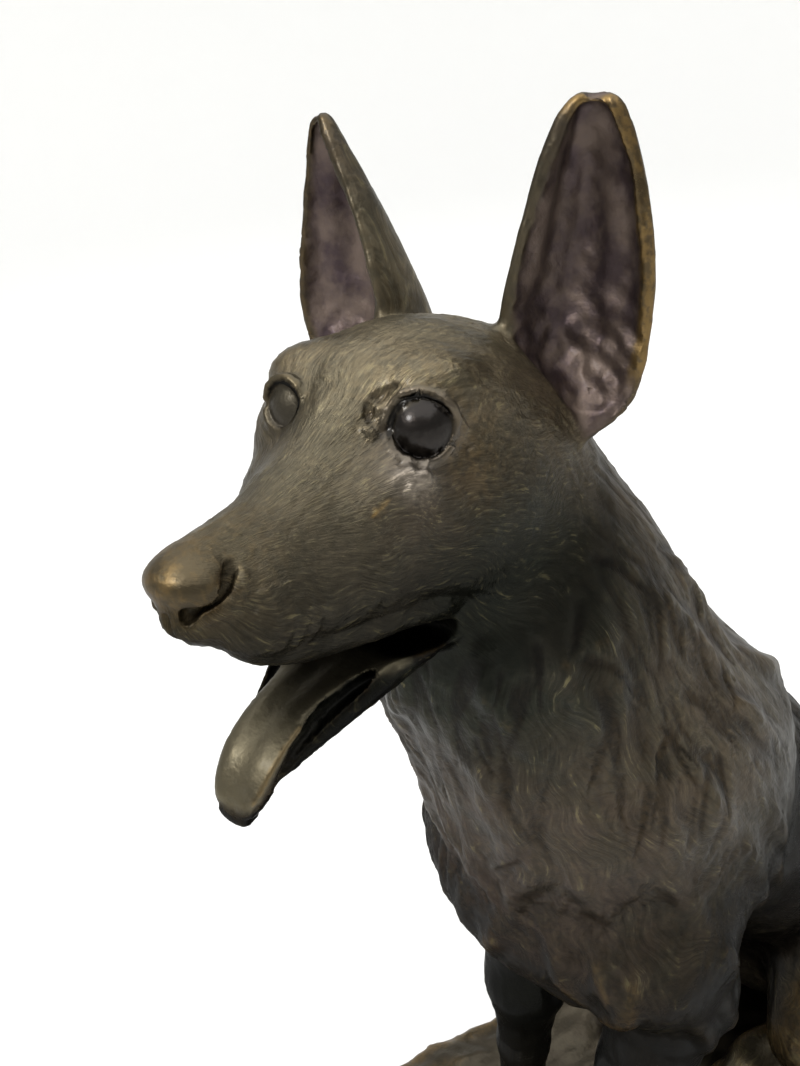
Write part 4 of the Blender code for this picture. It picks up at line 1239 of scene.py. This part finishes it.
# Shares made from the surface's fields: the field, where it starts and ends, and the share at each
ramps = {
    "clouded": ("clouds", 0.35, 0.7, 0, 1),
    "oliveClouds": ("cloudsBlots", 0.65, 1.25, 0.6, 1),
    "oliveCrests": ("crest", -0.8, 0.4, 0.25, 1),
    "plumBlots": ("blots", 0.35, 0.65, 0.3, 1),
    "greenClouds": ("clouds", 0.3, 0.6, 0.55, 1),
    # dark patina in grooves, and painted shade in the grooves round the near eye
    "darkGroovesAndShade": ("crest", 0, -1, 0, 0.8),
    # painted shade: black where little of the surroundings is open
    "paintedOcclusionShade": ("sky", 0.75, 0.25, 0, 0.96),
    "fleshBlots": ("blots", 0.35, 0.65, 0, 1),
    "wornSpecks": ("blotsSpecks", 0.8, 1.15, 0.35, 1),
    "highCrests": ("crest", 0.1, 0.7, 0, 0.3),
    "hairTips": ("hairs", 0.56, 0.68, 0, 1),
    "paintedHighlightCrests": ("crest", -0.2, 0.6, 0.35, 1),
    "streaks": ("hairs", 0.3, 0.7, 0.72, 1.22),
    "shadeSpecularTint": ("paintedShade", 0, 0.7, 0.7, 0.1),  # dull where shade is painted, so that the pale floor doesn't veil the painted shade
    "roughBlots": ("blots", 0.3, 0.7, 0.36, 0.52),
    "glossRough": ("gloss", 0, 1, 1, 0.7),
    "coat": ("gloss", 0, 1, 0.04, 0.3),
}

# The patina, the painted shade and the painted highlight from the metal up: a layer's colour and the shares
# that are multiplied for it
layers = (
    ("cloud", "clouded"),
    ("olive", "oliveTint", "oliveClouds", "oliveCrests"),
    ("plum", "plumTint", "plumBlots"),
    ("greenBlackAndShade", "greenAndShadeTint", "greenClouds"),
    ("black", "darkGroovesAndShade"),
    ("black", "paintedOcclusionShade"),
    ("inEar", "inEar"),
    ("gold", "worn", "wornSpecks"),
    ("fleck", "highCrests", "hairTips"),
    ("paintedHighlight", "paintedHighlight", "paintedHighlightCrests"),
    ("eye", "ball"),
)


def bronzeFinish():  # cast bronze, chemically patinated and waxed: dark, warm, satin, worn bright on edges, with painted shade in grooves, hollows and low places and painted highlights round the near eye
    material = bpy.data.materials.new("cast bronze, waxed brown patina")
    material.use_nodes = True
    tree = material.node_tree
    shader = tree.nodes["Principled BSDF"]
    fields = {}
    for name, parts in {
        # the worn share, the relief's sign for dark grooves and for the painted light round the near eye, and
        # the openness that paints shade in hollows come in one vector
        "tint": ("oliveTint", "plumTint", "greenAndShadeTint"), "wearAndPaintedLight": ("worn", "crest", "sky"),
        "polish": ("ball", "gloss", "inEar"), "combShare": ("combHead", "combTrunk", "combLegs"),
    }.items():
        vector = addNode(tree, "ShaderNodeAttribute", attribute_name=name)["Vector"]
        fields.update(zip(parts, addNode(tree, "ShaderNodeSeparateXYZ", (vector,))))
    for name in ("paintedShade", "paintedHighlight"):
        fields[name] = addNode(tree, "ShaderNodeAttribute", attribute_name=name)["Fac"]
    place = addNode(tree, "ShaderNodeTexCoord")["Object"]
    # 45 mm clouds of patina, 9 mm blots and 1.4 mm specks, the casting's grain
    for name, scale, detail in (("clouds", 22, 3), ("blots", 110, 4), ("specks", 700, 2)):
        inputs = {"Vector": place, "Scale": scale, "Detail": detail, "Roughness": 0.55}
        fields[name] = addNode(tree, "ShaderNodeTexNoise", inputs)["Fac"]
    hairs = 0.0
    for name, finer in (("combHead", 2), ("combTrunk", 1), ("combLegs", 1)):
        vector = addNode(tree, "ShaderNodeAttribute", attribute_name=name)["Vector"]
        inputs = {"Vector": vector, "Scale": finish["hairScale"] * finer, "Detail": 3, "Roughness": 0.6}
        strokes = addNode(tree, "ShaderNodeTexNoise", inputs)["Fac"]
        hairs = addNode(tree, "ShaderNodeMath", (fields[name], strokes, hairs), operation="MULTIPLY_ADD")[0]
    fields["hairs"] = hairs
    for name, a, b in (("cloudsBlots", "clouds", "blots"), ("blotsSpecks", "blots", "specks")):
        fields[name] = addNode(tree, "ShaderNodeMath", (fields[a], fields[b]), operation="ADD")[0]
    for name, (field, *limits) in ramps.items():
        inputs = (fields[field], *limits)
        fields[name] = addNode(tree, "ShaderNodeMapRange", inputs, interpolation_type="SMOOTHSTEP")[0]

    shades = {name: colour(text) for name, text in finish.items() if isinstance(text, str)}
    for name, share, low, high in (
        ("cloud", 0.5, "brown", "black"), ("inEar", fields["fleshBlots"], "plum", "flesh"),
    ):
        inputs = {0: share, 6: shades[low], 7: shades[high]}
        shades[name] = addNode(tree, "ShaderNodeMix", inputs, data_type="RGBA")[2]
    shade = shades["brown"]
    for name, first, *others in layers:
        share = fields[first]
        for other in others:
            share = addNode(tree, "ShaderNodeMath", (share, fields[other]), operation="MULTIPLY")[0]
        inputs = {0: share, 6: shade, 7: shades[name]}
        shade = addNode(tree, "ShaderNodeMix", inputs, data_type="RGBA")[2]
    greys = [addNode(tree, "ShaderNodeCombineXYZ", [fields[name]] * 3)[0] for name in ("streaks", "shadeSpecularTint")]
    inputs = {0: 1.0, 6: shade, 7: greys[0]}
    shade = addNode(tree, "ShaderNodeMix", inputs, data_type="RGBA", blend_type="MULTIPLY")[2]
    # the painted shade: black mixed in as far as that attribute asks
    inputs = {0: fields["paintedShade"], 6: shade, 7: shades["black"]}
    shade = addNode(tree, "ShaderNodeMix", inputs, data_type="RGBA")[2]

    rough = fields["roughBlots"]
    rough = addNode(tree, "ShaderNodeMath", (fields["worn"], -0.1, rough), operation="MULTIPLY_ADD")[0]
    rough = addNode(tree, "ShaderNodeMath", (rough, fields["glossRough"]), operation="MULTIPLY")[0]
    rough = addNode(tree, "ShaderNodeMath", (fields["inEar"], 0.12, rough), operation="MULTIPLY_ADD")[0]
    inputs = {"Strength": 1.0, "Distance": finish["hairHeight"], "Height": hairs}
    inputs = {"Normal": addNode(tree, "ShaderNodeBump", inputs)[0]}
    inputs.update({"Strength": 1.0, "Distance": finish["grainHeight"], "Height": fields["specks"]})
    bump = addNode(tree, "ShaderNodeBump", inputs)[0]
    for name, value in {
        "Base Color": shade, "Specular Tint": greys[1], "Roughness": rough,
        "Coat Weight": fields["coat"], "Normal": bump,
    }.items():
        tree.links.new(value, shader.inputs[name])
    shader.inputs["Metallic"].default_value = finish["metallic"]
    shader.inputs["Coat Roughness"].default_value = finish["waxRoughness"]
    return material


def castSurface():  # Geometry Nodes: raises the relief and the casting's pits along the surface
    tree = bpy.data.node_groups.new("cast surface", "GeometryNodeTree")
    for name, kind in {
        "Geometry": "Geometry", "Stroke Depth": "Float", "Pit Depth": "Float",
        "Pit Size": "Float", "Seed": "Int", "Metal": "Material",
    }.items():
        tree.interface.new_socket(name=name, in_out="INPUT", socket_type="NodeSocket" + kind)
    tree.interface.new_socket(name="Geometry", in_out="OUTPUT", socket_type="NodeSocketGeometry")
    given = addNode(tree, "NodeGroupInput")
    relief, skin = (
        addNode(tree, "GeometryNodeInputNamedAttribute", {"Name": name}, data_type="FLOAT")[0]
        for name in ("relief", "skin")
    )
    raised = addNode(tree, "ShaderNodeMath", (relief, given["Stroke Depth"]), operation="MULTIPLY")[0]
    often = addNode(tree, "ShaderNodeMath", (1.0, given["Pit Size"]), operation="DIVIDE")[0]
    inputs = {"Scale": often, "W": given["Seed"], "Detail": 2.0}
    pits = addNode(tree, "ShaderNodeTexNoise", inputs, noise_dimensions="4D")[0]
    pits = addNode(tree, "ShaderNodeMath", (pits, 0.5), operation="SUBTRACT")[0]
    height = addNode(tree, "ShaderNodeMath", (pits, given["Pit Depth"], raised), operation="MULTIPLY_ADD")[0]
    height = addNode(tree, "ShaderNodeMath", (height, skin), operation="MULTIPLY")[0]
    inputs = {0: addNode(tree, "GeometryNodeInputNormal")[0], "Scale": height}
    offset = addNode(tree, "ShaderNodeVectorMath", inputs, operation="SCALE")[0]
    inputs = {"Geometry": given["Geometry"], "Offset": offset}
    surface = addNode(tree, "GeometryNodeSetPosition", inputs)[0]
    surface = addNode(tree, "GeometryNodeRealizeInstances", {"Geometry": surface})[0]
    inputs = {"Geometry": surface, "Material": given["Metal"]}
    surface = addNode(tree, "GeometryNodeSetMaterial", inputs)[0]
    addNode(tree, "NodeGroupOutput", {"Geometry": surface})
    return tree


def meshFrom(name, points, triangles):
    mesh = bpy.data.meshes.new(name)
    mesh.vertices.add(len(points))
    mesh.vertices.foreach_set("co", points.astype(np.float32).ravel())
    mesh.loops.add(triangles.size)
    mesh.loops.foreach_set("vertex_index", triangles.astype(np.int32).ravel())
    mesh.polygons.add(len(triangles))
    mesh.polygons.foreach_set("loop_start", np.arange(0, triangles.size, 3, dtype=np.int32))
    mesh.update(calc_edges=True)
    mesh.validate()
    return mesh


def keep(mesh, name, values):
    values = np.asarray(values, np.float32)
    vector = values.ndim == 2
    layer = mesh.attributes.new(name, "FLOAT_VECTOR" if vector else "FLOAT", "POINT")
    layer.data.foreach_set("vector" if vector else "value", values.ravel())


def surfaceLooks(points, normals, q, zones, marks, face, lumps, broad, sky):  # what the material reads
    y, z = points.T[1:]
    eyes, cups, tongue, mouth = (zones[name] for name in ("eyes", "cups", "tongue", "mouth"))
    inHead = headShare(q)
    nearHalf = q[:, 1] > 0
    glossAndPaintedLightRoundEye = near(q, eyeMiddle(1) + (1.0, 0.4, -0.2), 1.4) * (1 - eyes)  # glossier round the near eye, where highlights and shade are painted
    glossAndPaintedLightRoundEye = np.clip(1.5 * glossAndPaintedLightRoundEye, 0, 1)
    # The relief's sign: dark patina in grooves, olive and pale flecks on crests; round the near eye it is
    # raised so that grooves take painted shade and ridges painted highlight
    crest = (marks + 0.25) * 2.2 + face * (0.4 + glossAndPaintedLightRoundEye) + lumps * 0.2 + broad * (5 + 16 * glossAndPaintedLightRoundEye)
    tint = patinaAndShadeByPlace(points, q)
    bareMetal = np.zeros(len(q))
    for path, width, height in bareLines:
        carve(q, bareMetal, path, width, height)
    edges = np.clip(broad * 4 - 0.25, 0, 0.5) * (1 - tongue) * (1 - 0.8 * zones["rims"])
    gold = tint[:, 3] + zones["worn"] * 0.8 + edges
    # painted highlight on the ridges round the near eye
    gold = gold + glossAndPaintedLightRoundEye * np.clip(broad * 4 - 0.1, 0, 0.3)
    gold = np.clip(gold * (1 - 0.8 * mouth) * (1 - eyes) + bareMetal, 0, 1)
    # Painted highlight: a grey shine on the bag under the near eye, on the lids' edges and on the ridges
    # round the near eye
    paintedHighlight = 0.7 * near(q, bagMiddle, 0.55) + 0.16 * zones["lids"] * nearHalf
    paintedHighlight = paintedHighlight + glossAndPaintedLightRoundEye * np.clip(broad * 6 - 0.15, 0, 0.35)
    upward = np.clip(normals[:, 2] * 0.8 + 0.5, 0, 1)
    olive = tint[:, 0] * (0.2 + 0.8 * upward) * (1 - cups) * (1 - 0.5 * glossAndPaintedLightRoundEye)
    olive = np.maximum(olive, 0.8 * tongue)
    plum = tint[:, 1] * (1 - tongue)
    # Painted shade in green-black on what faces down and inside the mouth, together with the green-black of
    # the stains table
    paintedUndersideShade = step(0.0, -0.8, normals[:, 2]) * (1 - cups) * (1 - tongue)
    greenBlackAndShade = np.maximum(np.maximum(tint[:, 2] * (1 - cups), mouth), 0.8 * paintedUndersideShade) * (1 - tongue)
    # Painted shade: the lower half of the head, the body darker downwards, the lower jaw under the tongue,
    # the grooves at the near eye's inner corner and the crescent under the upper lid
    paintedShade = 0.4 * inHead * step(-3.0, -6.5, q[:, 2]) * (1 - tongue)
    paintedShade = paintedShade + 0.66 * step(60, 36, z) * step(5, 14, z)  # painted shade, darker towards the base where less light reaches
    paintedShade = np.maximum(paintedShade, 0.8 * zones["jaw"])
    for path, radii in eyeGrooves:
        carve(q, paintedShade, path, 0.24, 0.9)
    paintedShade = np.clip(paintedShade + 0.95 * zones["shadows"], 0, 0.95) * (1 - eyes)
    ball = eyes * (0.35 + 0.65 * nearHalf)
    flesh = cups * np.where(nearHalf, 0.8, 1.0)
    furry = 1 - np.clip(zones["bare"] + zones["ground"], 0, 1)
    inHead = step(0.4, 1, inHead) - step(0.6, 0, inHead)
    onLeg = step(36, 32, z) * step(9, 5, y)
    onTrunk = furry * np.clip(-inHead, 0, 1) * step(0.5, 0, onLeg)
    combShare = [furry * np.clip(inHead, 0, 1), onTrunk, furry * 0.7 * step(0.5, 1, onLeg)]
    vectors = {
        "tint": (olive, plum, greenBlackAndShade),
        # the openness that paints shade, kept at 1 in the ear cups and on the tongue so that no shade is
        # painted there
        "wearAndPaintedLight": (gold, np.clip(crest, -1, 1), np.maximum(sky, np.maximum(cups, tongue))),
        "polish": (ball, np.maximum(ball, 0.75 * glossAndPaintedLightRoundEye), flesh),
        "combShare": combShare,
    }
    looks = {name: np.stack(fields, 1) for name, fields in vectors.items()}
    return looks | combed(points, q) | {"paintedShade": paintedShade, "paintedHighlight": np.clip(paintedHighlight, 0, 1)}


def makeDog():
    points, triangles, under, coarse = makeForm()
    normals, area = pointNormals(points, triangles)
    q = (points - head[1]) @ head[0]
    zones, lumps = surfaceZones(points, normals, q)
    flow = hairFlow(points, normals, q)
    marks = toolMarks(points, normals, area, flow, zones)
    face = faceRelief(q) * headShare(q)
    earth = zones["ground"] * (0.5 * wave(points, 4.0, 41) + 0.35 * wave(points, 1.7, 42))
    earth = earth * step(-5.2, -4.6, points[:, 2])
    broad = curvature(points, triangles, normals, 12)
    say("relief ready")
    sky = skyFromForm(points, normals, coarse)
    say("sky")

    looks = surfaceLooks(points, normals, q, zones, marks, face, lumps, broad, sky)
    looks["relief"] = marks + face + lumps + earth
    looks["skin"] = (1 - 0.9 * np.maximum(zones["eyes"], zones["nose"])) * ~under
    place = (points - (*groundPlan["middle"], -dog["groundThickness"] / unitSize)) * unitSize
    mesh = meshFrom("dogCasting", place, triangles)
    for name, values in looks.items():
        keep(mesh, name, values)
    dogObject = link("dogCasting", mesh)

    casting = dogObject.modifiers.new("cast surface", "NODES")
    casting.node_group = castSurface()
    amounts = {
        "Stroke Depth": dog["strokeDepth"], "Pit Depth": dog["pitDepth"],
        "Pit Size": dog["pitSize"], "Seed": dog["seed"], "Metal": bronzeFinish(),
    }
    for item in casting.node_group.interface.items_tree:
        if item.in_out == "INPUT" and item.name in amounts:
            casting[item.identifier] = amounts[item.name]
    thin = dogObject.modifiers.new("thin out", "DECIMATE")
    thin.ratio = min(1.0, dog["triangles"] / len(triangles))
    thin.use_collapse_triangulate = True
    seen = bpy.context.evaluated_depsgraph_get()
    solid = dogObject.evaluated_get(seen)
    cast = bpy.data.meshes.new_from_object(solid, preserve_all_data_layers=True, depsgraph=seen)
    dogObject.modifiers.clear()
    dogObject.data = cast
    bpy.data.meshes.remove(mesh)
    cast.name = "dogCasting"
    cast.shade_smooth()
    cast.set_sharp_from_angle(angle=math.radians(75))
    say("casting", len(cast.polygons), "triangles")
    return dogObject


def skyFromForm(points, normals, solid):  # how open each place is, from a coarse copy of the form; where little is open, shade is painted
    stride = max(1, len(points) // dog["skySamples"])
    rng = np.random.default_rng(dog["seed"])
    chosen = rng.permutation(len(points))[::stride]
    directions = rng.normal(size=(dog["skyRays"], 3))
    directions /= lengths(directions)[:, None]
    openness = np.zeros(len(chosen))
    tree = KDTree(len(chosen))
    for k, i in enumerate(chosen):
        start = Vector(points[i] + normals[i] * 0.5)
        hits = 0
        for d in directions:
            way = Vector(d + normals[i] * 1.05).normalized()
            hits += solid.ray_cast(start, way, 16.0)[0] is not None
        openness[k] = 1 - hits / len(directions)
        tree.insert(points[i], k)
    tree.balance()
    out = np.empty(len(points))
    for i, p in enumerate(points):
        found = tree.find_n(p, 3)
        out[i] = sum(openness[hit[1]] for hit in found) / len(found)
    return out


# Stage, light and camera

studio = {
    "board": "f6f6f4",
    "world": 0.35,
    "sky": (105.0, 4.2, (-0.2, 0.2, 2.6)),  # watts, size and place in metres: the soft overhead light
    "key": (10.0, 0.3, (-0.1, -1.05, 1.4)),  # a smaller light above the dog's nose
    "aim": (0.0, -0.04, 0.28),  # what both lights face
    "sweep": (  # radius and height of the floor's edge
        (0, 0), (1.8, 0), (2.3, 0.02), (2.7, 0.1), (3.0, 0.3), (3.15, 0.6), (3.2, 0.9),
    ),
    "sweepTurns": 48,
    "lens": 28.705,
    "sensor": 36.0,
    "cameraPlace": (0.10366, -0.20099, 0.41983),
    "cameraRight": (0.66098, 0.74282, -0.10642),
    "cameraUp": (-0.30505, 0.39555, 0.86630),
    "cameraBack": (0.68560, -0.54014, 0.48805),
}


def link(name, data):  # puts an object with this data into the scene
    thing = bpy.data.objects.new(name, data)
    bpy.context.scene.collection.objects.link(thing)
    return thing


def makeStage():
    lens = bpy.data.cameras.new("camera")
    lens.sensor_fit = "VERTICAL"
    lens.sensor_height = studio["sensor"]
    lens.sensor_width = studio["sensor"]
    lens.lens = studio["lens"]
    lens.clip_start = 0.01
    camera = link("camera", lens)
    axes = [Vector(studio[name]) for name in ("cameraRight", "cameraUp", "cameraBack")]
    turned = Matrix(axes).transposed().to_4x4()
    camera.matrix_world = Matrix.Translation(studio["cameraPlace"]) @ turned
    bpy.context.scene.camera = camera

    for name in ("sky", "key"):
        power, size, place = studio[name]
        lamp = bpy.data.lights.new(name, "AREA")
        lamp.energy = power
        lamp.size = size
        lit = link(name, lamp)
        lit.location = place
        lit.rotation_euler = (Vector(studio["aim"]) - lit.location).to_track_quat("-Z", "Y").to_euler()

    world = bpy.data.worlds.new("studio")
    world.use_nodes = True
    background = world.node_tree.nodes["Background"]
    background.inputs["Color"].default_value = (1, 1, 1, 1)
    background.inputs["Strength"].default_value = studio["world"]
    bpy.context.scene.world = world
    bpy.context.scene.view_settings.view_transform = "Standard"

    turns = studio["sweepTurns"]
    profile = spline(studio["sweep"], steps=4)
    points = [(0, 0, 0)]
    triangles = []
    for i, (radius, height) in enumerate(profile[1:]):
        for k in range(turns):
            angle = 2 * math.pi * k / turns
            points.append((radius * math.cos(angle), radius * math.sin(angle), height))
            here, beside = 1 + i * turns + k, 1 + i * turns + (k + 1) % turns
            if i == 0:
                triangles.append((0, here, beside))
            else:
                triangles += [(here, beside, here - turns), (beside, beside - turns, here - turns)]
    mesh = meshFrom("floor", np.array(points), np.array(triangles))
    mesh.shade_smooth()
    floor = link("floor", mesh)
    paint = bpy.data.materials.new("matt white board")  # bright and plain, with only a soft shadow on it
    paint.use_nodes = True
    board = paint.node_tree.nodes["Principled BSDF"]
    board.inputs["Base Color"].default_value = colour(studio["board"])
    board.inputs["Roughness"].default_value = 0.9
    mesh.materials.append(paint)
    say("board, lights and camera")


makeStage()
head = headFrame()
clay = seatedDog()
dogCasting = makeDog()
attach(dogCasting, "root")
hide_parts("seated_dog")

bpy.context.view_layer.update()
say("done")
